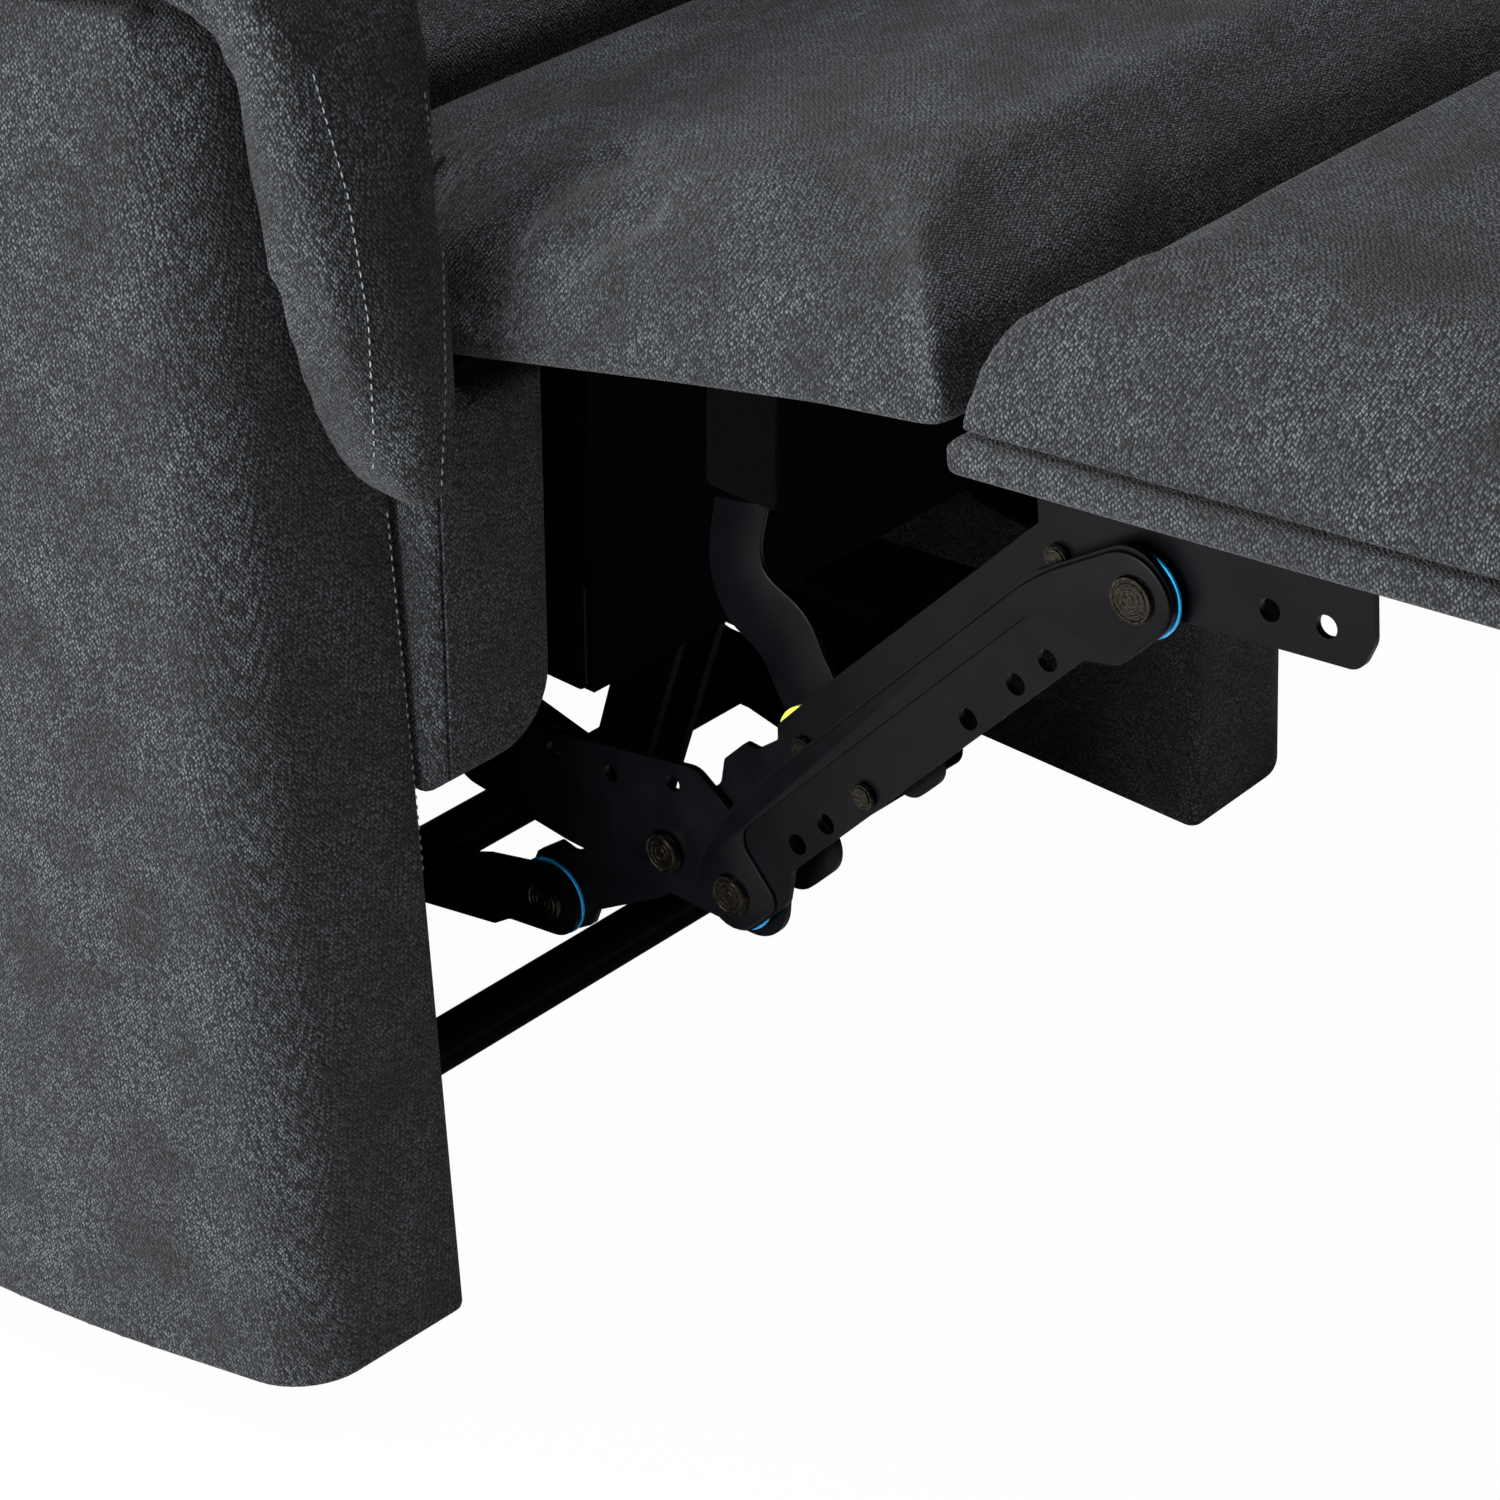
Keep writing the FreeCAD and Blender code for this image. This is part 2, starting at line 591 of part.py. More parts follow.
def side_plates():
    """The steel side plates that carry every pivot of the seat."""
    tube = pin("fold_pin")
    guide = pin("guide_pin")
    front_lift = pin("front_lift_seat")
    rear_lift = pin("rear_lift_seat")
    hinge = pin("back_pin")
    lift = size("lift_half_wide")
    corners = [
        (size("box_front_ahead") - 2, size("box_front_up") + 1, 4),
        (tube[0] + 26, size("box_front_up") + 1, 8), (tube[0] + 16, tube[1] - 22, 16),
        (tube[0] - 40, tube[1] - 40, 20), (guide[0] + 22, guide[1] + 8, 12),
        (guide[0] + 18, guide[1] - 18, 16), (front_lift[0] + lift, front_lift[1] - lift, 14),
        (rear_lift[0] - lift - 4, rear_lift[1] - lift, 14),
        (hinge[0] - 24, hinge[1] + 20, 18), (hinge[0] + 22, hinge[1] + 20, 18),
        (size("box_back_ahead") - 2, size("rail_low_up") - 5, 12),
        (size("box_front_ahead") - 2, size("rail_low_up") - 5, 4),
    ]
    pivot = size("lift_pin_edge")
    marks = [
        hole("fold_pin", size("journal_edge") + size("fit_gap")),
        hole("guide_pin", size("rivet_shank")),
        hole("front_lift_seat", pivot), hole("rear_lift_seat", pivot),
        hole("front_cross", size("tube_edge")), hole("rear_cross", size("tube_edge")),
        hole("back_pin", pivot),
    ]
    finish("side_plate_right", plate("side_plate_right", corners, marks, plate_inset()))
    other = mirrored(finished[-1][1])
    finish("side_plate_left", other)


def hollow(name, place, start, end, radius):
    """A steel tube across the chair."""
    outer = cross(name + "_outside", place, start, end, radius)
    inner = cross(name + "_inside", place, start - 1, end + 1, radius + " - Sizes.tube_wall")
    return cut(name, outer, inner)


def ear_pair(name, place, middle, corners, closed=True):
    """Two ears for an actuator's eye; a closed pair also holds the pin between them."""
    half = size("ear_gap") / 2
    thick = size("ear_thick")
    pieces = []
    for side, start in (("a", middle - half - thick), ("b", middle + half)):
        ear = plate(name + "_" + side, corners, [], 0.0, "ear_thick")
        ear.Placement.Base = V(start, 0, 0)
        pieces.append(ear)
    reach = half + thick + 2.5
    if closed:
        pieces.append(cross(name + "_pin", place, middle - reach, middle + reach,
                            "Sizes.actuator_pin_edge"))
    else:
        pieces.append(cross(name + "_head_a", place, middle - reach, middle - half - 1, 8.0))
        pieces.append(cross(name + "_head_b", place, middle + half + 1, middle + reach, 8.0))
    return pieces


def ear_outline(tube, place):
    """An ear from a cross tube out to an actuator's pin."""
    line, reach = along(tube, place)
    edge = size("eye_edge")
    root = size("tube_edge") - 1
    return [line(0, -root, 2), line(reach + edge, -edge, edge - 1),
            line(reach + edge, edge, edge - 1), line(0, root, 2)]


def lift_tail():
    return (size("base_tail_ahead"), size("base_tail_up") + 34)


def lift_nose():
    ahead, up = pin("front_cross")
    return (ahead - 48, up - 4)


def back_tail():
    ahead, up = pin("front_cross")
    return (ahead - 32, up + 2)


def foot_tail():
    ahead, up = pin("rear_cross")
    return (ahead + 32, up + 2)


def cross_tubes():
    """The two tubes between the side plates, with the actuators' ears."""
    reach = -from_arm(plate_inset()) + size("slide_gap")
    off = size("motor_off")
    front = hollow("front_cross_tube", pin("front_cross"), -reach, reach, "Sizes.tube_edge")
    ears = ear_pair("lift_nose_ear", lift_nose(), off,
                    ear_outline(pin("front_cross"), lift_nose()), False)
    ears += ear_pair("back_tail_ear", back_tail(), -off,
                     ear_outline(pin("front_cross"), back_tail()))
    finish("chassis_front_tube", join("chassis_front_tube", [front] + ears))
    rear = hollow("rear_cross_tube", pin("rear_cross"), -reach, reach, "Sizes.tube_edge")
    ears = ear_pair("foot_tail_ear", foot_tail(), 0.0, ear_outline(pin("rear_cross"), foot_tail()))
    finish("chassis_rear_tube", join("chassis_rear_tube", [rear] + ears))


def chassis_pins():
    """Pins of the lift arms and stubs for the guide links, riveted in the side plates."""
    inner = from_arm(plate_inset())
    thick = size("plate_thick")
    edge = size("lift_pin_edge")
    arm_start = from_arm(lift_inset())
    pieces = []
    for name in ("front_lift_seat", "rear_lift_seat"):
        place = pin(name)
        outer_end = arm_start - 2.5
        if name == "front_lift_seat":
            outer_end = arm_start + size("lift_plate") + size("slide_gap")
        shank = cross(name + "_shank", place, outer_end, inner + thick, edge)
        head = cross(name + "_head", place, inner + thick, inner + thick + 4, edge + 4)
        sleeve = cross(name + "_sleeve", place, arm_start + size("lift_plate") + size("slide_gap"),
                       inner, edge + 3)
        pieces.append(join(name + "_pin", [shank, head, sleeve]))
    gap = size("slide_gap")
    place = pin("guide_pin")
    head_end = from_arm(size("link_inset")) - gap
    stub = cross("guide_stub", place, head_end - 1, inner + thick, "Sizes.rivet_shank")
    head = cross("guide_head", place, head_end - size("rivet_high"), head_end, 8.0)
    boss = cross("guide_boss", place, from_arm(size("link_inset") + thick) + gap, inner, 9.0)
    pieces.append(join("guide_stub_pin", [stub, head, boss]))
    finish("chassis_pins", group("chassis_pins", pieces + [mirrored(p) for p in pieces]))


def arm_brackets():
    """Bent strips that hold the arms to the side plates."""
    start = from_arm(0.0) + size("slide_gap")
    end = from_arm(plate_inset()) - size("slide_gap")
    pieces = []
    for number, ahead in enumerate((-255.0, -470.0)):
        low = size("rail_low_up") - 40
        wide = 46.0
        thick = size("plate_thick")
        shelf = block("arm_shelf_%d" % number, V(start, -ahead, low), end - start, wide, thick)
        arm_lip = block("arm_lip_%d" % number, V(start, -ahead, low), thick, wide, 30.0)
        plate_lip = block("plate_lip_%d" % number, V(end - thick, -ahead, low), thick, wide, 28.0)
        pieces.append(join("arm_bracket_%d" % number, [shelf, arm_lip, plate_lip]))
    finish("arm_brackets", group("arm_brackets", pieces + [mirrored(p) for p in pieces]))


# Lift base and lift arms

def lift_inset():
    rail_inner = size("base_rail_inset") + size("base_rail_wide")
    return rail_inner + 3.0


def base_rails():
    """The two rails on the floor, with the ears and pins of the lift arms."""
    corner = V(from_arm(size("base_rail_inset")), -size("base_front"), size("glide_high"))
    outer = block("base_rail_skin", corner, "Sizes.base_rail_wide", "Sizes.base_long",
                  "Sizes.base_rail_high")
    wall = size("tube_wall")
    core = doc.addObject("Part::Box", "base_rail_core")
    bind(core, Length="Sizes.base_rail_wide - 2 * Sizes.tube_wall",
         Width="Sizes.base_long + 2", Height="Sizes.base_rail_high - 2 * Sizes.tube_wall")
    core.Placement.Base = corner.add(V(wall, -1, wall))
    pieces = [cut("base_rail_section", outer, core)]
    rail_inner = corner.x + size("base_rail_wide")
    lift_face = from_arm(lift_inset())
    for name in ("front_lift_base", "rear_lift_base"):
        place = pin(name)
        low = size("glide_high")
        half = size("lift_half_wide")
        corners = [(place[0] - 26, low, 1), (place[0] + half, low, 1),
                   (place[0] + half, place[1] + half, half), (place[0] - half, place[1] + half, half)]
        pieces.append(plate(name + "_ear", corners, [], size("base_rail_inset"), "base_rail_wide"))
        pieces.append(cross(name + "_pin", place, rail_inner - 1,
                            lift_face + size("lift_plate") + 3, "Sizes.lift_pin_edge"))
        pieces.append(cross(name + "_boss", place, rail_inner - 1,
                            lift_face - size("slide_gap"), "Sizes.lift_half_wide - 3"))
    pair("base_rails", join("base_rail", pieces))


def base_tubes():
    """The low tube across the front ends of the rails, and the rear tube with its ears."""
    reach = -from_arm(size("base_rail_inset") + size("base_rail_wide")) - size("slide_gap")
    ends = -from_arm(size("base_rail_inset"))
    finish("base_front_tube", hollow("base_front_tube", pin("front_tube"), -ends, ends,
                                     "Sizes.front_tube_edge"))
    tail = pin("base_tail")
    tube = hollow("base_rear_barrel", tail, -reach, reach, "Sizes.tube_edge")
    ears = ear_pair("lift_tail_ear", lift_tail(), size("motor_off"), ear_outline(tail, lift_tail()))
    finish("base_rear_tube", join("base_rear_tube", [tube] + ears))


def glides():
    """Four round glides under the base rails."""
    middle = from_arm(size("base_rail_inset") + size("base_rail_wide") / 2)
    edge = size("glide_edge")
    pieces = []
    for ahead in (size("base_front") - size("glide_set_back"),
                  size("base_front") - size("base_long") + edge):
        start = V(middle, -ahead, 0)
        foot = doc.addObject("Part::Cone", "glide")
        bind(foot, Radius1="Sizes.glide_edge - 3", Radius2="Sizes.glide_edge")
        foot.setExpression("Height", "Sizes.glide_high - Sizes.slide_gap")
        foot.Placement.Base = start
        pieces.append(foot)
    finish("glides", group("glides", pieces + [mirrored(p) for p in pieces]))


def lift_arm(name, low, high):
    """One flat lift arm between its base pin and its seat pin."""
    line, reach = along(pin(low), pin(high))
    half = size("lift_half_wide")
    corners = [line(-half, -half, half), line(reach + half, -half, half),
               line(reach + half, half, half), line(-half, half, half)]
    edge = size("lift_pin_edge") + size("fit_gap")
    marks = [hole(low, edge), hole(high, edge)]
    return plate(name, corners, marks, lift_inset(), "lift_plate")


def lift_arms():
    """Front and rear lift arms; a torque tube ties the rear pair together."""
    front = lift_arm("front_lift_arm", "front_lift_base", "front_lift_seat")
    face = from_arm(lift_inset())
    place = pin("front_lift_seat")
    button = join("front_lift_button", [
        cross("front_lift_plug", place, face - 0.5, face + size("lift_plate"),
              size("lift_pin_edge") + size("fit_gap")),
        cross("front_lift_cap", place, face - 2.5, face, size("lift_pin_edge") + 4)])
    pair("front_lift_arms", join("front_lift_whole", [front, button]))
    rear = lift_arm("rear_lift_arm", "rear_lift_base", "rear_lift_seat")
    line, _ = along(pin("rear_lift_base"), pin("rear_lift_seat"))
    ahead, up, _ = line(42, 0)
    end = -from_arm(lift_inset() + size("lift_plate")) + 1.0
    tube = cross("lift_torque_tube", (ahead, up), -end, end, "Sizes.tube_edge")
    finish("rear_lift_arms", join("rear_lift_arms", [rear, mirrored(rear), tube]))


# Actuators

def actuator(label, tail, nose, across, motor_up, stroke):
    """A linear actuator: motor and outer tube in one housing, and its push rod."""
    start = at(across, tail)
    end = at(across, nose)
    run = end.sub(start)
    span = run.Length
    run.normalize()
    tilt = math.degrees(math.atan2(run.z, run.y))
    half = size("ear_gap") / 2 - size("soft_gap")
    eye_back = cross(label + "_tail_eye", tail, across - half, across + half, "Sizes.eye_edge")
    seat = size("rod_seat")
    neck = rod(label + "_neck", start, start + run * (seat - 2), size("rod_edge"))
    wide = size("motor_wide")
    deep = size("motor_high")
    below = 22.0 if motor_up else deep - 22.0
    up = V(0, -run.z, run.y)
    if up.z < 0:
        up = up * -1
    long = size("motor_long")
    forward = start + run * 26
    corner = forward - V(wide / 2, 0, 0) - up * below
    housing = doc.addObject("Part::Box", label + "_gearbox")
    bind(housing, Length="Sizes.motor_wide", Height="Sizes.motor_high", Width="Sizes.motor_long")
    if run.y < 0:
        corner = corner + run * long
        turn = FreeCAD.Rotation(V(1, 0, 0), math.degrees(math.atan2(-run.z, -run.y)))
    else:
        turn = FreeCAD.Rotation(V(1, 0, 0), tilt)
    housing.Placement = FreeCAD.Placement(corner, turn)
    soft = doc.addObject("Part::Fillet", label + "_housing")
    soft.Base = housing
    doc.recompute()
    soft.Edges = [(k + 1, 8.0, 8.0) for k in range(len(housing.Shape.Edges))]
    tube_end = start + run * (span - stroke - 20)
    tube = rod(label + "_tube", forward, tube_end, "Sizes.case_edge")
    bore_tail = cross(label + "_tail_bore", tail, across - 40, across + 40,
                      size("actuator_pin_edge") + size("fit_gap"))
    channel = rod(label + "_channel", start + run * (seat - 2), end, size("rod_edge") + 0.3)
    body = join(label + "_whole", [eye_back, neck, soft, tube])
    drilled = cut(label + "_drilled", body, channel)
    finish(label + "_actuator", cut(label + "_case", drilled, bore_tail))
    bar = rod(label + "_bar", start + run * (seat + stroke), end, "Sizes.rod_edge")
    eye = cross(label + "_nose_eye", nose, across - half, across + half, "Sizes.eye_edge")
    bore_nose = cross(label + "_nose_bore", nose, across - 40, across + 40,
                      size("actuator_pin_edge") + size("rod_slack"))
    finish(label + "_push_rod", cut(label + "_rod", join(label + "_solid", [bar, eye]), bore_nose))


# Seat box, springs and soft pieces

def seat_box():
    """The wooden seat box: runners, front board, side boards and rear board."""
    front = size("box_front_ahead")
    back = size("box_back_ahead")
    low = size("rail_low_up")
    high = size("box_top_up")
    wood = size("wood_thick")
    run_start = from_arm(plate_inset() + size("plate_thick")) + size("slide_gap")
    long = front - back
    runner = block("runner", V(run_start, -front + wood, 290.0), "Sizes.wood_thick",
                   long - 2 * wood - 2 * size("slide_gap"), high - 290.0)
    pair("seat_runners", runner)
    width = -2 * run_start
    board = block("front_board", V(run_start, -front, size("box_front_up")), width,
                  "Sizes.wood_thick", high - size("box_front_up"))
    finish("seat_front_board", board)
    side = block("side_board", V(from_arm(size("side_gap")), -front + size("facing_thick"), low),
                 "Sizes.wood_thick", long - size("facing_thick"), high - low)
    pair("seat_side_boards", side)
    start = from_arm(size("side_gap") + wood) + size("slide_gap")
    rear = block("rear_board", V(start, -back - wood, low), -2 * start, "Sizes.wood_thick",
                 high - low)
    finish("seat_rear_board", rear)


def springs():
    """Four sinuous springs across the seat box, from front board to rear board."""
    front = size("box_front_ahead") - size("wood_thick")
    back = size("box_back_ahead") + size("wood_thick")
    wire = size("spring_wire")
    pitch = size("spring_pitch")
    sway = size("spring_sway")
    up = size("box_top_up") + wire + size("slide_gap") - 0.02
    count = int((front - back + size("wood_thick")) / pitch)
    half = pitch / 2
    pieces = []
    for across in (-111.0, -37.0, 37.0, 111.0):
        y = -front - half
        edges = []
        side = 1
        for _ in range(count):
            a = V(across - side * sway, y, up)
            b = V(across + side * sway, y, up)
            edges.append(Part.LineSegment(a, b).toShape())
            c = V(across + side * (sway + half), y + half, up)
            d = V(across + side * sway, y + pitch, up)
            edges.append(Part.Arc(b, c, d).toShape())
            y += pitch
            side = -side
        edges.append(Part.LineSegment(V(across - side * sway, y, up), V(across, y, up)).toShape())
        path = Part.Wire(edges)
        ring = Part.Wire([Part.Circle(V(across - sway, -front - half, up), V(1, 0, 0), wire).toShape()])
        pieces.append(path.makePipeShell([ring], True, False))
    spring = doc.addObject("Part::Feature", "seat_springs")
    spring.Shape = Part.makeCompound(pieces)
    finish("seat_springs", spring)


def crowned(y, half, low, shoulder, top, lift=0.0):
    """A cross-section of a cushion: flat below, upright sides and a crowned top."""
    a = V(-half, y, low)
    b = V(half, y, low)
    c = V(half, y, shoulder)
    d = V(-half, y, shoulder)
    edges = [
        Part.LineSegment(a, b).toShape(), Part.LineSegment(b, c).toShape(),
        Part.Arc(c, V(0, y + lift, top), d).toShape(), Part.LineSegment(d, a).toShape(),
    ]
    return Part.Wire(edges)


def feature(name, shape):
    thing = doc.addObject("Part::Feature", name)
    thing.Shape = shape
    return thing


def pad_half():
    return size("seat_width") / 2 - size("pad_inset")


def seat_cushion():
    """The seat cushion behind the crease."""
    half = pad_half()
    start = size("seat_split_ahead") - size("soft_gap")
    end = size("seat_back_ahead")
    low = size("seat_up")
    thick = size("seat_thick")
    stations = ((0.0, 0.78, 0.42), (0.08, 0.93, 0.6), (0.5, 1.0, 0.62), (0.92, 0.93, 0.6),
                (1.0, 0.78, 0.42))
    wires = []
    for share, crown, shoulder in stations:
        draw_in = 5.0 * math.sin(math.pi * share)
        y = -start + (start - end) * share
        wires.append(crowned(y, half - draw_in, low, low + thick * shoulder, low + thick * crown))
    finish("seat_cushion", feature("seat_cushion", Part.makeLoft(wires, True)))


def chaise_under(ahead):
    """Height of the front pad's underside."""
    rise = math.tan(math.radians(size("chaise_slope")))
    base = size("chaise_up")
    return base + rise * ahead if ahead > -40 else base - rise * 40 - 0.02 * (-40 - ahead)


def front_pad():
    """The pad that bridges from the seat to the footrest: its part on the seat box and
    the part ahead of it, which gives when the footrest folds."""
    half = pad_half()
    start = size("seat_split_ahead")
    end = size("chaise_end_ahead")
    thick = size("chaise_thick")
    stations = ((0.0, 0.86, 0.45), (0.1, 0.98, 0.6), (0.42, 1.08, 0.62), (0.74, 1.04, 0.6),
                (0.93, 0.86, 0.46), (1.0, 0.34, 0.2))
    wires = []
    for share, crown, shoulder in stations:
        ahead = start + (end - start) * share
        low = chaise_under(ahead)
        draw_in = 4.0 * math.sin(math.pi * share)
        wires.append(crowned(-ahead, half - draw_in, low, low + thick * shoulder,
                             low + thick * crown))
    whole = Part.makeLoft(wires, True)
    edge = -size("box_front_ahead")
    gap = size("soft_gap")
    on_box = whole.common(Part.makeBox(1000, 400, 400, V(-500, edge, 300)))
    bridge = whole.common(Part.makeBox(1000, 400, 400, V(-500, edge - gap - 400, 300)))
    finish("seat_front_pad", feature("seat_front_pad", on_box))
    finish("seat_bridge_pad", feature("seat_bridge_pad", bridge))


def footrest_board():
    """The board under the footrest pad."""
    half = pad_half()
    board = doc.addObject("Part::Box", "footrest_board")
    board.Length = 2 * half
    bind(board, Width="Sizes.rest_long", Height="Sizes.rest_board_thick")
    turn = FreeCAD.Rotation(V(1, 0, 0), -size("rest_slope"))
    board.Placement = FreeCAD.Placement(at(-half, rest_place(size("rest_long"))), turn)
    finish("footrest_board", board)


def footrest_pad():
    """The crowned pad on the footrest board."""
    half = pad_half()
    thick = size("rest_pad_thick")
    long = size("rest_long") + 8.0
    stations = ((0.0, 0.42, 0.22), (0.06, 0.84, 0.42), (0.3, 1.0, 0.56), (0.75, 0.98, 0.54),
                (0.94, 0.8, 0.4), (1.0, 0.36, 0.2))
    wires = []
    for share, crown, shoulder in stations:
        draw_in = 4.0 * math.sin(math.pi * share)
        y = 4.0 - long * share
        wires.append(crowned(y, half - draw_in, 0.0, thick * shoulder, thick * crown))
    pad = feature("footrest_pad", Part.makeLoft(wires, True))
    turn = FreeCAD.Rotation(V(1, 0, 0), -size("rest_slope"))
    base = at(0.0, rest_place(0.0, size("rest_board_thick") + size("soft_gap")))
    pad.Placement = FreeCAD.Placement(base, turn)
    finish("footrest_pad", pad)


def facings():
    """The padded fabric facings beside the slots for the linkage."""
    low = size("box_front_up") - 3
    high = size("box_top_up") + 5
    start = from_arm(size("side_gap"))
    wide = size("facing_wide")
    depth = size("facing_thick")
    y = -size("box_front_ahead")
    corners = [(start, low, 3), (start + wide, low, 20), (start + wide, high, 14),
               (start, high, 3)]
    flat = [Part.Wire([g.toShape() for g in rounded(corners)])]
    back = Part.Face(flat[0])
    slab = back.extrude(V(0, 0, depth))
    slab = slab.makeFillet(6.0, [e for e in slab.Edges
                                 if min(v.Z for v in e.Vertexes) > depth - 0.01])
    slab.rotate(V(0, 0, 0), V(1, 0, 0), 90)
    slab.translate(V(0, y + depth - size("soft_gap"), 0))
    pair("seat_facings", feature("seat_facing", slab))


# Arms

def arm_section(up, front):
    """The arm's outline in plan at one height, for the right arm."""
    inner = from_arm(0.0)
    back = size("arm_length")
    nose = size("arm_nose")
    narrow = inner - size("arm_front_thick")
    outer = inner - size("arm_thick")
    flare = size("arm_flare")
    p = [
        V(inner, back, up), V(inner, front + 2, up), V(inner - 10, front - nose + 1, up),
        V(narrow + 14, front - nose + 2, up), V(narrow - 1, front + 10, up),
        V(outer, front + flare, up), V(outer, back, up),
    ]
    corner = V(inner - 2.5, front - nose + 3.5, up)
    soft = V(narrow + 2.5, front - nose + 6.5, up)
    side = V((narrow + outer) / 2 - 5, front + flare * 0.4, up)
    edges = [
        Part.LineSegment(p[0], p[1]).toShape(), Part.Arc(p[1], corner, p[2]).toShape(),
        Part.LineSegment(p[2], p[3]).toShape(), Part.Arc(p[3], soft, p[4]).toShape(),
        Part.Arc(p[4], side, p[5]).toShape(), Part.LineSegment(p[5], p[6]).toShape(),
        Part.LineSegment(p[6], p[0]).toShape(),
    ]
    return Part.Wire(edges)


def arms():
    """The upholstered arm bodies, with the front leaning back towards the top."""
    low = size("arm_gap")
    high = low + size("arm_height")
    bevel = size("arm_bevel")
    lean = size("arm_lean")
    neck = high - bevel
    share = (neck - low) / size("arm_height")
    wires = [arm_section(low, 0.0), arm_section(neck, lean * share)]
    top = [arm_section(neck, lean * share), arm_section(high, lean + bevel)]
    body = Part.makeLoft(wires, True, True).fuse(Part.makeLoft(top, True, True))
    finish("arm_right", feature("arm_right", body))
    finish("arm_left", mirrored(finished[-1][1]))


def pillow_section(centre, normal, half, thick):
    """A section of the arm pillow: flat inside, crowned outside, with round edges."""
    def spot(side, out):
        return centre + V(side, 0, 0) + normal * out

    edge = thick * 0.34
    inset = min(edge, half * 0.4)
    edges = [
        Part.LineSegment(spot(-half + inset * 0.4, 0), spot(half - inset * 0.4, 0)).toShape(),
        Part.Arc(spot(half - inset * 0.4, 0), spot(half, edge * 0.8),
                 spot(half - inset * 0.5, edge * 1.7)).toShape(),
        Part.Arc(spot(half - inset * 0.5, edge * 1.7), spot(0, thick),
                 spot(-half + inset * 0.5, edge * 1.7)).toShape(),
        Part.Arc(spot(-half + inset * 0.5, edge * 1.7), spot(-half, edge * 0.8),
                 spot(-half + inset * 0.4, 0)).toShape(),
    ]
    return Part.Wire(edges)


def between(share, table):
    """Smooth value from a table of (share, number) rows."""
    for (a, low), (b, high) in zip(table, table[1:]):
        if share <= b:
            t = max(0.0, (share - a) / (b - a))
            t = t * t * (3 - 2 * t)
            return low + (high - low) * t
    return table[-1][1]


def arm_pads():
    """The pillow on the arm, which rolls over the front and ends in a rounded tongue."""
    top = size("arm_gap") + size("arm_height")
    gap = 2.5 * size("soft_gap")
    thick = size("pad_thick")
    over = size("pad_over")
    wide = size("arm_thick") / 2 + over
    front_wide = size("arm_front_thick") / 2 + over
    lean = size("arm_lean")
    bevel = size("arm_bevel")
    depth = size("tongue_thick")
    drop = size("tongue_drop")
    slope = math.atan2(lean, size("arm_height"))
    face = lean - size("arm_nose")
    back = size("arm_length") + 4
    # Stations as (place on the arm, direction out, half width, middle, thickness)
    rows = []
    middle = -size("arm_thick") / 2
    front_middle = -size("arm_front_thick") / 2
    run = back - face - bevel
    for number in range(13):
        share = number / 12
        y = back - run * share
        half = between(share, [(0, wide * 0.86), (0.06, wide), (0.72, wide), (1, front_wide + 4)])
        centre = between(share, [(0, middle), (0.72, middle), (1, front_middle - 4)])
        high = between(share, [(0, thick * 0.5), (0.08, thick), (1, thick)])
        rows.append((V(0, y, top + gap), V(0, 0, 1), half, centre, high))
    hub = V(0, face + bevel, top - bevel)
    for number in range(1, 5):
        turn = (math.pi / 2 + slope) * number / 5
        out = V(0, -math.sin(turn), math.cos(turn))
        share = number / 5
        high = thick + (depth - thick) * share
        rows.append((hub + out * (bevel + gap), out, front_wide + 4 - 4 * share,
                     front_middle - 4 + 3 * share, high))
    down = V(0, -math.sin(slope), -math.cos(slope))
    out = V(0, -math.cos(slope), math.sin(slope))
    begin = hub + out * (bevel + gap)
    long = drop - bevel
    for share in (0.06, 0.2, 0.36, 0.52, 0.68, 0.82, 0.91, 0.97, 1.0):
        half = between(share, [(0, front_wide), (0.3, 47.0), (0.55, 40.0), (0.8, 31.0),
                               (0.92, 21.0), (1.0, 7.0)])
        centre = between(share, [(0, front_middle - 1), (0.3, -47.5), (0.55, -44.5),
                                 (0.8, -39.5), (0.92, -35.5), (1.0, -33.5)])
        high = between(share, [(0, depth), (0.72, depth), (0.92, depth * 0.82), (1.0, depth * 0.3)])
        rows.append((begin + down * (long * share), out, half, centre, high))
    inner = from_arm(0.0)
    wires = [pillow_section(place + V(inner + centre, 0, 0), normal, half, high)
             for place, normal, half, centre, high in rows]
    finish("arm_pad_right", feature("arm_pad_right", Part.makeLoft(wires, True)))
    finish("arm_pad_left", mirrored(finished[-1][1]))


def pocket_x():
    return size("seat_width") / 2 + size("arm_thick") + size("soft_gap")


def pockets():
    """Open-topped side pockets on the outer side of each arm."""
    x = pocket_x()
    wall = size("pocket_wall")
    corner = V(x, -size("pocket_ahead"), size("pocket_up"))
    shell = block("pocket_shell", corner, "Sizes.pocket_thick", "Sizes.pocket_long",
                  "Sizes.pocket_high")
    room = doc.addObject("Part::Box", "pocket_room")
    bind(room, Length="Sizes.pocket_thick - 2 * Sizes.pocket_wall",
         Width="Sizes.pocket_long - 2 * Sizes.pocket_wall", Height="Sizes.pocket_high")
    room.Placement.Base = corner.add(V(wall, wall, wall))
    left = cut("side_pocket_left", shell, room)
    pair("side_pockets", left)


def handset_corner():
    wall = size("pocket_wall")
    slack = (size("pocket_thick") - 2 * wall - size("handset_thick")) / 2
    return V(pocket_x() + wall + slack, -size("pocket_ahead") + size("pocket_long") / 2
             - size("handset_wide") / 2, size("pocket_up") + wall + size("soft_gap"))


def button_places():
    """Lower corners of the four buttons, by name."""
    corner = handset_corner()
    top = corner.z + size("handset_long")
    left = corner.y + size("handset_wide") / 2 - size("button_wide") - 3
    right = corner.y + size("handset_wide") / 2 + 3
    upper = top - 18
    lower = upper - size("button_high") - 5
    return {"recline": (left, upper), "sit_up": (left, lower), "lift": (right, upper),
            "lower": (right, lower)}


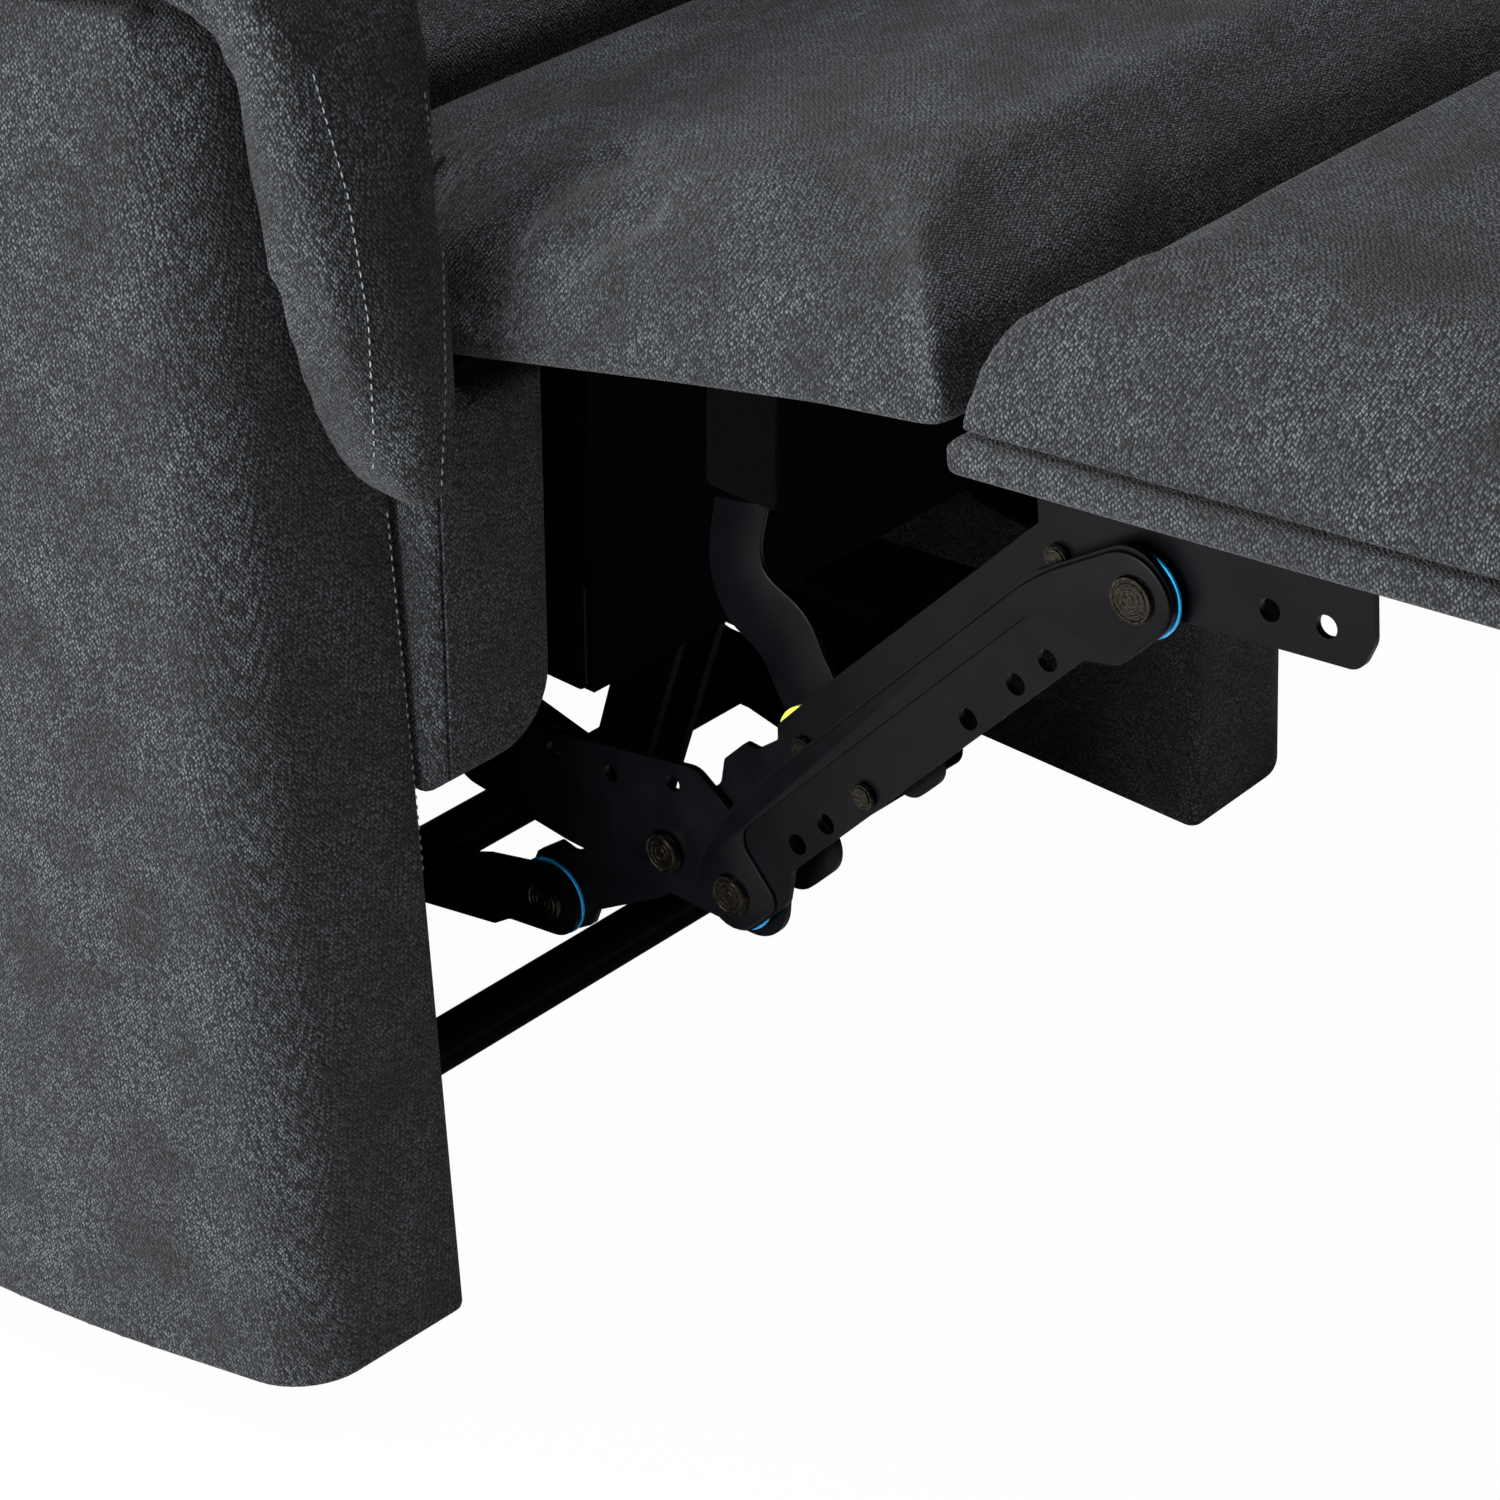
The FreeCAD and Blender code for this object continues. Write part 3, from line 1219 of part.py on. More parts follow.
def handset():
    """The handset case in the left pocket, with a well for each button."""
    corner = handset_corner()
    case = block("handset_block", corner, "Sizes.handset_thick", "Sizes.handset_wide",
                 "Sizes.handset_long")
    soft = doc.addObject("Part::Fillet", "handset_soft")
    soft.Base = case
    doc.recompute()
    soft.Edges = [(k + 1, 4.0, 4.0) for k in range(len(case.Shape.Edges))]
    face = corner.x + size("handset_thick")
    gap = 0.3
    wells = []
    for name, (y, z) in button_places().items():
        wells.append(block(name + "_well", V(face - size("button_deep"), y - gap, z - gap),
                           size("button_deep") + 1, size("button_wide") + 2 * gap,
                           size("button_high") + 2 * gap))
    finish("handset", cut("handset", soft, join("wells", wells)))


def buttons():
    """The handset's four buttons, which travel into the case."""
    face = handset_corner().x + size("handset_thick")
    travel = size("button_travel")
    deep = size("button_deep") - travel - 0.3
    for name, (y, z) in button_places().items():
        key = block("button_" + name, V(face - deep, y, z), deep + size("button_proud"),
                    "Sizes.button_wide", "Sizes.button_high")
        finish("button_" + name, key)


def power_box():
    """The power supply under the rear board, with its inlet gland."""
    wide, long, high = 70.0, 120.0, 42.0
    top = size("rail_low_up") - size("slide_gap")
    start = V(size("motor_off") - 50.0, -size("box_back_ahead") - long, top - high)
    box = block("power_block", start, wide, long, high)
    gland = rod("power_gland", start + V(wide / 2, long - 1, high / 2),
                start + V(wide / 2, long + 9, high / 2), 7.0)
    finish("power_supply", join("power_supply", [box, gland]))


# Back

def back_turn():
    return FreeCAD.Rotation(V(1, 0, 0), -size("back_lean"))


def on_back(thing, shift=V(0, 0, 0)):
    """Set a piece that was made upright on the leaning back, about its hinge."""
    turn = back_turn()
    base = at(0.0, pin("back_pin"))
    thing.Placement = FreeCAD.Placement(base.add(turn.multVec(shift)), turn)
    return thing


def back_frame():
    """Two posts and the board between them, upright about the hinge and then leaned."""
    post = size("back_post")
    low = -size("back_drop")
    high = size("back_high") - 20
    deep = size("wood_thick") + 8
    x = from_arm(plate_inset() + size("plate_thick")) + 6.5
    shapes = []
    for start in (x, -x - post):
        shapes.append(Part.makeBox(post, deep, high - low, V(start, -deep / 2, low)))
    shapes.append(Part.makeBox(-2 * x - 2 * post + 1, deep - 8, high - low - 8,
                               V(x + post - 0.5, -deep / 2 + 4, low + 4)))
    whole = shapes[0].fuse(shapes[1:])
    for across in (x, -x - post):
        drill = Part.makeCylinder(size("lift_pin_edge") + size("fit_gap"), post + 2,
                                  V(across - 1, 0, 0), V(1, 0, 0))
        whole = whole.cut(drill)
    finish("back_frame", on_back(feature("back_frame", whole)))


def hinge_pins():
    """The pins of the back hinge, through side plate, hinge plate and post."""
    place = pin("back_pin")
    start = from_arm(plate_inset()) - 4
    x = from_arm(plate_inset() + size("plate_thick")) + 6.5
    shank = cross("back_hinge_shank", place, start, x + size("back_post") - 1,
                  "Sizes.lift_pin_edge")
    head = cross("back_hinge_head", place, start - 4, start + 4 - size("slide_gap"), 13.0)
    pair("back_hinge_pins", join("back_hinge_pin", [shank, head]))


def back_lever():
    """The steel lever on the back frame that the back actuator pushes."""
    across = -size("motor_off")
    knee = pin("lever")
    turn = back_turn()
    base = at(0.0, pin("back_pin"))
    face = (size("wood_thick") + 8) / 2 - 4 + size("slide_gap")
    high = base.add(turn.multVec(V(0, face, 36)))
    low = base.add(turn.multVec(V(0, face, -14)))
    edge = size("eye_edge")
    corners = [(-low.y, low.z, 1), (knee[0] + edge, knee[1] - edge, edge - 1),
               (knee[0] - edge, knee[1] - edge, edge - 1), (-high.y - 26, high.z - 10, 16),
               (-high.y, high.z, 1)]
    pieces = ear_pair("lever_ear", knee, across, corners, False)
    finish("back_lever", join("back_lever", pieces))


def back_cushion(label, low, high, front, crown):
    """One crowned back cushion between two heights above the hinge."""
    half = size("back_wide") / 2
    shapes = []
    stations = ((0.0, 0.55, 0.3), (0.12, 0.9, 0.5), (0.5, 1.0, 0.58), (0.88, 0.9, 0.5),
                (1.0, 0.55, 0.3))
    for share, top, shoulder in stations:
        z = low + (high - low) * share
        draw_in = 4.0 * math.sin(math.pi * share)
        side = half - draw_in
        a = V(-side, front, z)
        b = V(side, front, z)
        c = V(side, front - crown * shoulder, z)
        d = V(-side, front - crown * shoulder, z)
        edges = [
            Part.LineSegment(a, b).toShape(), Part.LineSegment(b, c).toShape(),
            Part.Arc(c, V(0, front - crown * top, z), d).toShape(),
            Part.LineSegment(d, a).toShape(),
        ]
        shapes.append(Part.Wire(edges))
    finish(label, on_back(feature(label, Part.makeLoft(shapes, True))))


def back_soft():
    """Lumbar, shoulder and head cushions and the outer back."""
    deep = (size("wood_thick") + 8) / 2
    front = -deep - size("soft_gap")
    crown = size("back_pad_thick")
    high = size("back_high")
    gap = size("cushion_gap")
    lumbar = size("lumbar_high")
    shoulder = size("shoulder_high")
    back_cushion("back_cushion_lower", size("lumbar_low"), lumbar, front, crown)
    back_cushion("back_cushion_middle", lumbar + gap, shoulder, front, crown * 0.95)
    back_cushion("head_cushion", shoulder + gap, high, front, crown * 1.05)
    half = size("back_wide") / 2
    thick = size("back_skin_thick")
    skin = Part.makeBox(2 * half, thick, high - 50, V(-half, deep + size("soft_gap"), 40))
    skin = skin.makeFillet(8.0, skin.Edges)
    finish("back_outer_panel", on_back(feature("back_outer_panel", skin)))


def fasteners():
    """Screws of the footrest board, and the rivets between bracket and inner link."""
    turn = FreeCAD.Rotation(V(1, 0, 0), -size("rest_slope"))
    x = from_arm(size("link_inset") + size("bracket_flange") - 8)
    pieces = []
    for far in (10.0, 60.0, 110.0):
        place = at(x, rest_place(far, -size("plate_thick") - size("slide_gap")))
        head = doc.addObject("Part::Cylinder", "board_screw")
        head.Radius = 5.0
        head.Height = 2.5
        head.Placement = FreeCAD.Placement(place - turn.multVec(V(0, 0, 2.5 + size("slide_gap"))),
                                           turn)
        pieces.append(head)
    link = size("link_inset")
    last = inner_inset() + size("plate_thick")
    pieces.append(tailed("rivet_inner_high", pin("inner_high"), link, last, "stud_head",
                         "stud_shank"))
    finish("bracket_fasteners", group("bracket_fasteners", pieces + [mirrored(p) for p in pieces]))


def build():
    outer_links()
    drive_links()
    inner_links()
    guide_links()
    props()
    brackets()
    rivets_and_washers()
    drive_tube()
    side_plates()
    cross_tubes()
    chassis_pins()
    arm_brackets()
    base_rails()
    base_tubes()
    glides()
    lift_arms()
    actuator("footrest", foot_tail(), pin("crank_pin"), 0.0, False, size("footrest_stroke"))
    actuator("lift", lift_tail(), lift_nose(), size("motor_off"), False, 0.0)
    actuator("back", back_tail(), pin("lever"), -size("motor_off"), False, size("back_stroke"))
    seat_box()
    springs()
    seat_cushion()
    front_pad()
    footrest_board()
    footrest_pad()
    facings()
    arms()
    arm_pads()
    pockets()
    handset()
    buttons()
    power_box()
    back_frame()
    hinge_pins()
    back_lever()
    back_soft()
    fasteners()


build()
doc.recompute()

# The origin is on the floor under the middle of the whole chair
overall = FreeCAD.BoundBox()
for label, thing in finished:
    overall.add(thing.Shape.optimalBoundingBox(False))
shift = -(overall.YMin + overall.YMax) / 2
named = [thing for label, thing in finished]
for label, thing in finished:
    if getattr(thing, "Source", None) not in named:
        thing.Placement.Base = thing.Placement.Base.add(V(0, shift, 0))
doc.recompute()

for thing in doc.Objects:
    if "Invalid" in thing.State or "Error" in thing.State:
        raise RuntimeError("failed: " + thing.Name)
for label, thing in finished:
    if thing.Shape.isNull() or not thing.Shape.isValid() or not thing.Shape.Solids:
        raise RuntimeError("bad shape: " + label)

os.makedirs("parts", exist_ok=True)
for label, thing in finished:
    thing.Shape.exportStep(os.path.join("parts", label + ".step"))

print("nodes", len(finished), "shift", round(shift, 3))
print("box", overall.XMin, overall.XMax, overall.YMin + shift, overall.YMax + shift,
      overall.ZMin, overall.ZMax)
for name in ("fold_pin", "guide_pin", "outer_low", "outer_high", "inner_mid", "inner_high",
             "inner_low", "prop_pin", "crank_pin", "front_lift_base", "rear_lift_base",
             "front_lift_seat", "rear_lift_seat", "back_pin", "lever", "front_cross"):
    ahead, up = pin(name)
    print("pivot", name, round(-ahead + shift, 3), round(up, 3))
for name, (ahead, up) in (("lift_tail", lift_tail()), ("lift_nose", lift_nose()),
                          ("back_tail", back_tail()), ("foot_tail", foot_tail())):
    print("pivot", name, round(-ahead + shift, 3), round(up, 3))
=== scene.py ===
"""Looks of the lift recliner chair: its upholstery, the finishes of its steelwork and the studio.

Lengths are millimetres in the tables and metres in the meshes. A place on the chair is given
as (across, ahead, up): across from the middle, ahead of the arm fronts, up from the floor.
"""
import bmesh
import bpy
import math
from mathutils import Matrix, Vector
from mathutils.bvhtree import BVHTree


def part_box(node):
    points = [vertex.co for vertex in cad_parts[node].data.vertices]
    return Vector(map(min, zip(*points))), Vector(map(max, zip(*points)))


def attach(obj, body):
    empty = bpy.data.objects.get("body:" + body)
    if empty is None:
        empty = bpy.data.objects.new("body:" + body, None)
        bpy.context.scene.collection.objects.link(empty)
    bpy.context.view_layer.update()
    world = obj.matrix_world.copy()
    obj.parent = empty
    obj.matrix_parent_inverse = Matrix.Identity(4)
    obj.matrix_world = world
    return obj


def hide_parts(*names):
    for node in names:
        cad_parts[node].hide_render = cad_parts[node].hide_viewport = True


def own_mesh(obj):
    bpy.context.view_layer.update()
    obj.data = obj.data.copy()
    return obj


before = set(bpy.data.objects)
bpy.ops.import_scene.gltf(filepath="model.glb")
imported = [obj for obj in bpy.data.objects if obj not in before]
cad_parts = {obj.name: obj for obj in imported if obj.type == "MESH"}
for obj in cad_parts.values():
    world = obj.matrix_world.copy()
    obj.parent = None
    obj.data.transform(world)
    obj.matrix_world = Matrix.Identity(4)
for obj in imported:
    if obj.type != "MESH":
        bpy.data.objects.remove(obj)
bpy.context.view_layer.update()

ARM_FRONTS = -99.948  # the arm fronts, along the row's Y
VIEW = (-1.30643, -1.20257, 1.21183)  # where the photograph was taken from
AIM = (0.6390, 0.5713, -0.5150)  # and the way it looks


def spot(across, ahead, up):
    """A place on the chair, in metres in the row frame."""
    return Vector((across, ARM_FRONTS - ahead, up)) / 1000


# Modelling

def alone(piece):
    """Only this piece is selected and active."""
    bpy.ops.object.select_all(action="DESELECT")
    bpy.context.view_layer.objects.active = piece
    piece.select_set(True)
    return piece


def settle(piece):
    """Put a piece's place, turn and size into its mesh."""
    alone(piece)
    bpy.ops.object.transform_apply(location=True, rotation=True, scale=True)
    return piece


def start(name, shape, stretch=None, **how):
    """A primitive at its size and place, ready to be shaped."""
    bpy.ops.object.select_all(action="DESELECT")
    getattr(bpy.ops.mesh, "primitive_%s_add" % shape)(**how)
    piece = bpy.context.object
    piece.name = piece.data.name = name
    if stretch:
        piece.scale = stretch
    return settle(piece)


def slab(name, low, high):
    """A box between two corners."""
    middle = (Vector(low) + Vector(high)) / 2
    return start(name, "cube", Vector(high) - Vector(low), size=1, location=middle)


def shaping(piece):
    """Open a piece for shaping; shaped() closes it."""
    alone(piece)
    bpy.ops.object.mode_set(mode="EDIT")
    return piece


def shaped(piece):
    bpy.ops.object.mode_set(mode="OBJECT")
    return piece


def pick(piece, kind, rule):
    """Select points, edges or faces of the piece being shaped, by their place and normal."""
    bpy.ops.mesh.select_mode(type="VERT")
    bpy.ops.mesh.select_all(action="DESELECT")
    bpy.ops.mesh.select_mode(type=kind)
    shape = bmesh.from_edit_mesh(piece.data)
    found = {"VERT": shape.verts, "EDGE": shape.edges, "FACE": shape.faces}[kind]
    for part in found:
        if kind == "VERT":
            chosen = rule(part.co, part.normal)
        elif kind == "EDGE":
            ends = [v.co for v in part.verts]
            chosen = rule((ends[0] + ends[1]) / 2, (ends[1] - ends[0]).normalized())
        else:
            chosen = rule(part.calc_center_median(), part.normal)
        if chosen:
            part.select_set(True)
    shape.select_flush_mode()
    bmesh.update_edit_mesh(piece.data)


def slices(piece, axis, places):
    """Cut the whole piece across an axis at each place."""
    normal = Vector([1.0 if k == "XYZ".index(axis) else 0.0 for k in range(3)])
    for place in places:
        bpy.ops.mesh.select_all(action="SELECT")
        bpy.ops.mesh.bisect(plane_co=normal * place, plane_no=normal)


def outward():
    """Turn every face of the piece being shaped outward."""
    bpy.ops.mesh.select_all(action="SELECT")
    bpy.ops.mesh.normals_make_consistent(inside=False)


def finish_with(piece, kind, **settings):
    """Add a modifier and apply it."""
    alone(piece)
    modifier = piece.modifiers.new(kind.lower(), kind)
    for key, value in settings.items():
        setattr(modifier, key, value)
    bpy.ops.object.modifier_apply(modifier=modifier.name)


def subdivided(piece, levels):
    finish_with(piece, "SUBSURF", subdivision_type="CATMULL_CLARK", levels=levels,
                render_levels=levels)


def smooth(piece, angle=math.radians(40)):
    """Shade a piece smooth, with creases only where its faces turn by more than the angle."""
    alone(piece)
    bpy.ops.object.shade_smooth_by_angle(angle=angle)
    return piece


def other_side(piece, name):
    """The same piece for the chair's other side, without the notes made on the first."""
    twin = piece.copy()
    twin.data = piece.data.copy()
    twin.name = twin.data.name = name
    for note in list(twin.keys()):
        del twin[note]
    bpy.context.scene.collection.objects.link(twin)
    twin.scale.x = -1
    settle(twin)
    shaping(twin)
    outward()
    return shaped(twin)


def leaned(piece, degrees, about):
    """Turn a finished piece about a line across the chair; plus lowers its front."""
    turn = Matrix.Rotation(math.radians(degrees), 4, "X")
    piece.matrix_world = Matrix.Translation(about) @ turn @ Matrix.Translation(-about)
    return settle(piece)


# Filling the cushions

PRESSURE = 4.0  # of the filling
SETTLING = 20  # steps until a cover rests


def filled(piece, grain, most, held):
    """Blow a cushion up as its foam and wadding do, with the held side kept flat, no point
    moving by more than `most`, on a mesh as fine as the grain."""
    finish_with(piece, "REMESH", mode="VOXEL", voxel_size=grain, adaptivity=0.0)
    rest = [v.co.copy() for v in piece.data.vertices]
    group = piece.vertex_groups.new(name="held")
    group.add([k for k, co in enumerate(rest) if held(co)], 1.0, "REPLACE")
    alone(piece)
    cloth = piece.modifiers.new("filling", "CLOTH")
    set_up = cloth.settings
    set_up.quality = 4
    set_up.mass = 0.3
    set_up.tension_stiffness = 15
    set_up.compression_stiffness = 15
    set_up.shear_stiffness = 5
    set_up.bending_stiffness = 0.5
    set_up.use_pressure = True
    set_up.uniform_pressure_force = PRESSURE
    set_up.effector_weights.gravity = 0
    set_up.vertex_group_mass = "held"
    scene = bpy.context.scene
    for number in range(1, SETTLING + 1):
        scene.frame_set(number)
    bpy.ops.object.modifier_apply(modifier=cloth.name)
    scene.frame_set(1)
    for vertex, before in zip(piece.data.vertices, rest):
        move = vertex.co - before
        if move.length > most:
            vertex.co = before + move * (most / move.length)
    piece.vertex_groups.clear()
    finish_with(piece, "SMOOTH", factor=0.5, iterations=5)
    subdivided(piece, 1)
    return smooth(piece, math.pi)


def cushion_block(name, half, long, thick, edge, crown=0.0, snug=()):
    """A foam block lying at the origin: back edge at Y 0, front at -long, soft along its top
    edges and raised by the crown in the middle. The snug ends ("front", "rear") keep a
    tighter edge, where the block lies against its neighbour."""
    piece = slab(name, (-half, -long, 0), (half, 0, thick))
    shaping(piece)
    pick(piece, "EDGE", lambda c, d: c.z > thick * 0.9)
    bpy.ops.mesh.bevel(offset=edge, segments=6, profile=0.5)
    span = edge * 1.02  # just past the rounded edge
    for end in snug:
        line = 0.0 if end == "rear" else -long
        pick(piece, "VERT", lambda co, n: abs(co.y - line) < span and co.z > thick - span)
        bpy.ops.transform.resize(value=(1, 0.4, 0.4), center_override=(0, line, thick))
    slices(piece, "X", [half * k / 6 for k in range(-5, 6)])
    slices(piece, "Y", [-long * k / 6 for k in range(1, 6)])
    for share in (0.8, 0.6, 0.4):
        pick(piece, "VERT", lambda co, n: co.z > thick * 0.95 and abs(co.x) < half * share
             and abs(co.y + long / 2) < long / 2 * share)
        bpy.ops.transform.translate(value=(0, 0, crown / 3))
    return shaped(piece)


def stand_up(piece, long, lean):
    """Lean the front end of a cushion ahead, more towards its end and its top, so that it
    meets its neighbour, and let its two top corners sink."""
    shaping(piece)
    stretch, close = 0.06, 6e-5
    places = {(round(v.co.y, 4), round(v.co.z, 4))
              for v in bmesh.from_edit_mesh(piece.data).verts if v.co.y < -long + stretch}
    for row, level in sorted(places):
        pick(piece, "VERT",
             lambda co, n: abs(co.y - row) < close and abs(co.z - level) < close)
        share = 1 - (row + long) / stretch
        bpy.ops.transform.translate(value=(0, lean * level * share, 0))
    for side in (-1, 1):
        pick(piece, "VERT", lambda co, n: co.z > 0.03 and side * co.x > 0.18
             and co.y < -long + 0.03)
        bpy.ops.transform.translate(value=(0, 0, -0.010), use_proportional_edit=True,
                                    proportional_edit_falloff="SMOOTH", proportional_size=0.09)
    return shaped(piece)


def from_line(place, line):
    """How far a place lies from a line of points, seen from above."""
    reach = []
    for a, b in zip(line, line[1:]):
        share = (place - a).dot(b - a) / (b - a).length_squared
        reach.append((place - a - (b - a) * min(1.0, max(0.0, share))).length)
    return min(reach)


def folded_in(piece, line, depth, width):
    """Press a fold into a cushion's top along a line, with soft shoulders."""
    line = [Vector(point) for point in line]
    shaping(piece)
    pick(piece, "VERT", lambda co, n: n.z > 0.3 and from_line(co.xy, line) < 0.004)
    if any(v.select for v in bmesh.from_edit_mesh(piece.data).verts):
        bpy.ops.transform.translate(value=(0, 0, -depth), use_proportional_edit=True,
                                    proportional_edit_falloff="SMOOTH", proportional_size=width)
    return shaped(piece)


# Upholstery

PAD_HALF = 0.240  # half the width between the arm pads
HINGE = spot(0, -575, 430)  # of the back
BACK_LEAN = -14
FOOTREST_SLOPE = math.radians(5.6)
ARM_FOOT, ARM_RISE, ARM_LEAN = 0.025, 0.595, 0.036  # the front leans back over its rise


def seat_cushion():
    """The cushion of the seat box, flush with the front pad behind the crease."""
    long = 0.404
    piece = cushion_block("seat_cushion_cover", PAD_HALF - 0.008, long, 0.066, 0.040, 0.008,
                          snug=("front",))
    piece.location = spot(0, -136, 444.8) + Vector((0, long, 0))
    settle(piece)
    return filled(piece, 0.006, 0.010, lambda co: co.z < 0.4475)


def front_pad():
    """The pad that bridges from the seat to the footrest, bent up ahead of the seat box, with
    the folds that the arm's front corner presses into it."""
    long = 0.357
    piece = cushion_block("seat_front_pad_cover", PAD_HALF - 0.007, long, 0.062, 0.044, 0.010,
                          snug=("rear",))
    stand_up(piece, long, -0.3)
    filled(piece, 0.006, 0.008, lambda co: co.z < 0.003)
    shaping(piece)
    rise, steps, pace = math.radians(12.7), 4, 0.008
    knee = Vector((0, -0.065, 0))
    for k in range(1, steps + 1):
        pick(piece, "VERT", lambda co, n: co.y < knee.y)
        # with no window the turn goes the other way
        bpy.ops.transform.rotate(value=rise / steps, orient_axis="X", center_override=knee)
        lean = rise * k / steps
        knee += Vector((0, -math.cos(lean), math.sin(lean))) * pace
    shaped(piece)
    piece.location = spot(0, -123, 449)
    settle(piece)
    for depth, width, *line in (
            (0.006, 0.020, (-228, -16), (-230, -6), (-226, 6)),
            (0.005, 0.011, (-227, -4), (-216, 4), (-200, 12), (-178, 30)),
            (0.005, 0.011, (-230, 6), (-225, 22), (-217, 42), (-202, 64))):
        for side in (1, -1):
            folded_in(piece, [spot(side * x, ahead, 0).xy for x, ahead in line], depth, width)
    return piece


def footrest_pad():
    """The pad on the footrest board."""
    piece = cushion_block("footrest_pad_cover", PAD_HALF - 0.003, 0.317, 0.054, 0.040, 0.008)
    filled(piece, 0.006, 0.008, lambda co: co.z < 0.003)
    off_board = Vector((0, math.sin(FOOTREST_SLOPE), math.cos(FOOTREST_SLOPE)))
    piece.rotation_euler.x = -FOOTREST_SLOPE
    piece.location = spot(0, 239.5, 498) + off_board * 0.0138
    return settle(piece)


def back_cushion(name, low, high, thick):
    """One back cushion, from low to high above the hinge: made flat, stood up and leaned with
    the back."""
    room = 0.002  # left free at each end
    piece = cushion_block(name, 0.239, high - low - 2 * room, thick, 0.028, 0.008)
    filled(piece, 0.007, 0.020, lambda co: co.z < 0.003)
    piece.rotation_euler.x = math.radians(90)
    settle(piece)
    piece.location = HINGE + Vector((0, -0.0148, high - room))
    settle(piece)
    return leaned(piece, BACK_LEAN, HINGE)


def arm():
    """The upholstered right arm: its front leans back and its outer side narrows to a wide
    soft front corner."""
    far, near = spot(-389, -690, 25), spot(-255, 3, 620)
    front = near.y
    turning = front + 0.165  # the outer side turns inward ahead of this
    piece = slab("arm_right_cover", (far.x, front, far.z), (near.x, far.y, near.z))
    shaping(piece)
    slices(piece, "Y", [turning, front + 0.35, front + 0.52])
    slices(piece, "Z", [0.2, 0.4])
    pick(piece, "VERT", lambda co, n: co.y < front + 0.01 and co.x < -0.38)
    bpy.ops.transform.translate(value=(0.045, 0.003, 0))
    pick(piece, "EDGE", lambda c, d: abs(d.z) > 0.9 and c.x < -0.385
         and abs(c.y - turning) < 0.01)
    bpy.ops.mesh.bevel(offset=0.09, segments=10, profile=0.5)
    pick(piece, "EDGE", lambda c, d: abs(d.z) > 0.9 and c.y < front + 0.01 and c.x < -0.3)
    bpy.ops.mesh.bevel(offset=0.026, segments=9, profile=0.5)
    pick(piece, "EDGE", lambda c, d: abs(d.z) > 0.9 and c.y < front + 0.01 and c.x > -0.26)
    bpy.ops.mesh.bevel(offset=0.007, segments=4, profile=0.5)
    pick(piece, "EDGE", lambda c, d: c.z > 0.619 and abs(d.z) < 0.1 and c.y < front + 0.0165)
    bpy.ops.mesh.bevel(offset=0.018, segments=5, profile=0.5)
    pick(piece, "EDGE", lambda c, d: c.z < 0.026 and abs(d.z) < 0.1)
    bpy.ops.mesh.bevel(offset=0.003, segments=3, profile=0.5)
    levels = sorted({round(v.co.z, 4) for v in bmesh.from_edit_mesh(piece.data).verts})
    for level in levels:
        pick(piece, "VERT", lambda co, n: abs(co.z - level) < 1e-4 and co.y < front + 0.3)
        bpy.ops.transform.translate(
            value=(0, ARM_LEAN * (level - ARM_FOOT) / ARM_RISE, 0))
    shaped(piece)
    return smooth(piece)


def arm_pillow():
    """The pillow on the right arm: along the top, over the front and down as a tongue."""
    back, hub, inner = spot(0, -688, 620), spot(0, -51.5, 600), -0.2495
    piece = slab("arm_pad_right_cover", (-0.388, hub.y, 0.6213), (inner, back.y, 0.6570))
    shaping(piece)
    slices(piece, "Y", [hub.y + 0.09 * k for k in range(1, 7)])
    pick(piece, "FACE", lambda c, n: n.y < -0.9)
    bpy.ops.transform.resize(value=(0.63, 1, 1), center_override=(inner, hub.y, 0.63))
    slope = math.atan2(ARM_LEAN, ARM_RISE)
    turns = 5
    for _ in range(turns):
        bpy.ops.mesh.extrude_region_move()
        bpy.ops.transform.rotate(value=-(math.pi / 2 + slope) / turns, orient_axis="X",
                                 center_override=hub)
        bpy.ops.transform.resize(value=(0.9583, 1, 1), center_override=(inner, 0, 0))
    down = Vector((0, -math.sin(slope), -math.cos(slope)))
    # the tongue: how far down, half its width and its middle across, in millimetres
    before, wide, middle = 0.0, 35.2, -284.7
    for far, half, across in ((34, 34, -282.5), (61, 32.5, -281), (88, 30.5, -279),
                              (115, 28, -276), (138, 24.5, -273), (155, 20.5, -270.5),
                              (167, 16.5, -269), (176, 11, -268), (181, 5, -267.5)):
        bpy.ops.mesh.extrude_region_move()
        bpy.ops.transform.translate(value=down * (far - before) / 1000
                                    + Vector(((across - middle) / 1000, 0, 0)))
        bpy.ops.transform.resize(value=(half / wide, 1, 1),
                                 center_override=(across / 1000, 0, 0))
        before, wide, middle = far, half, across
    slices(piece, "X", [-0.34, -0.3])
    shaped(piece)

    under = 0.0235  # how far from the hub the side lies that rests on the arm

    def on_arm(co):
        if co.y > hub.y:
            return co.z < 0.6235
        reach = Vector((0, co.y - hub.y, co.z - hub.z))
        if co.z > hub.z:
            return reach.length < under
        return -reach.dot(Vector((0, math.cos(slope), -math.sin(slope)))) < under

    return filled(piece, 0.005, 0.010, on_arm)


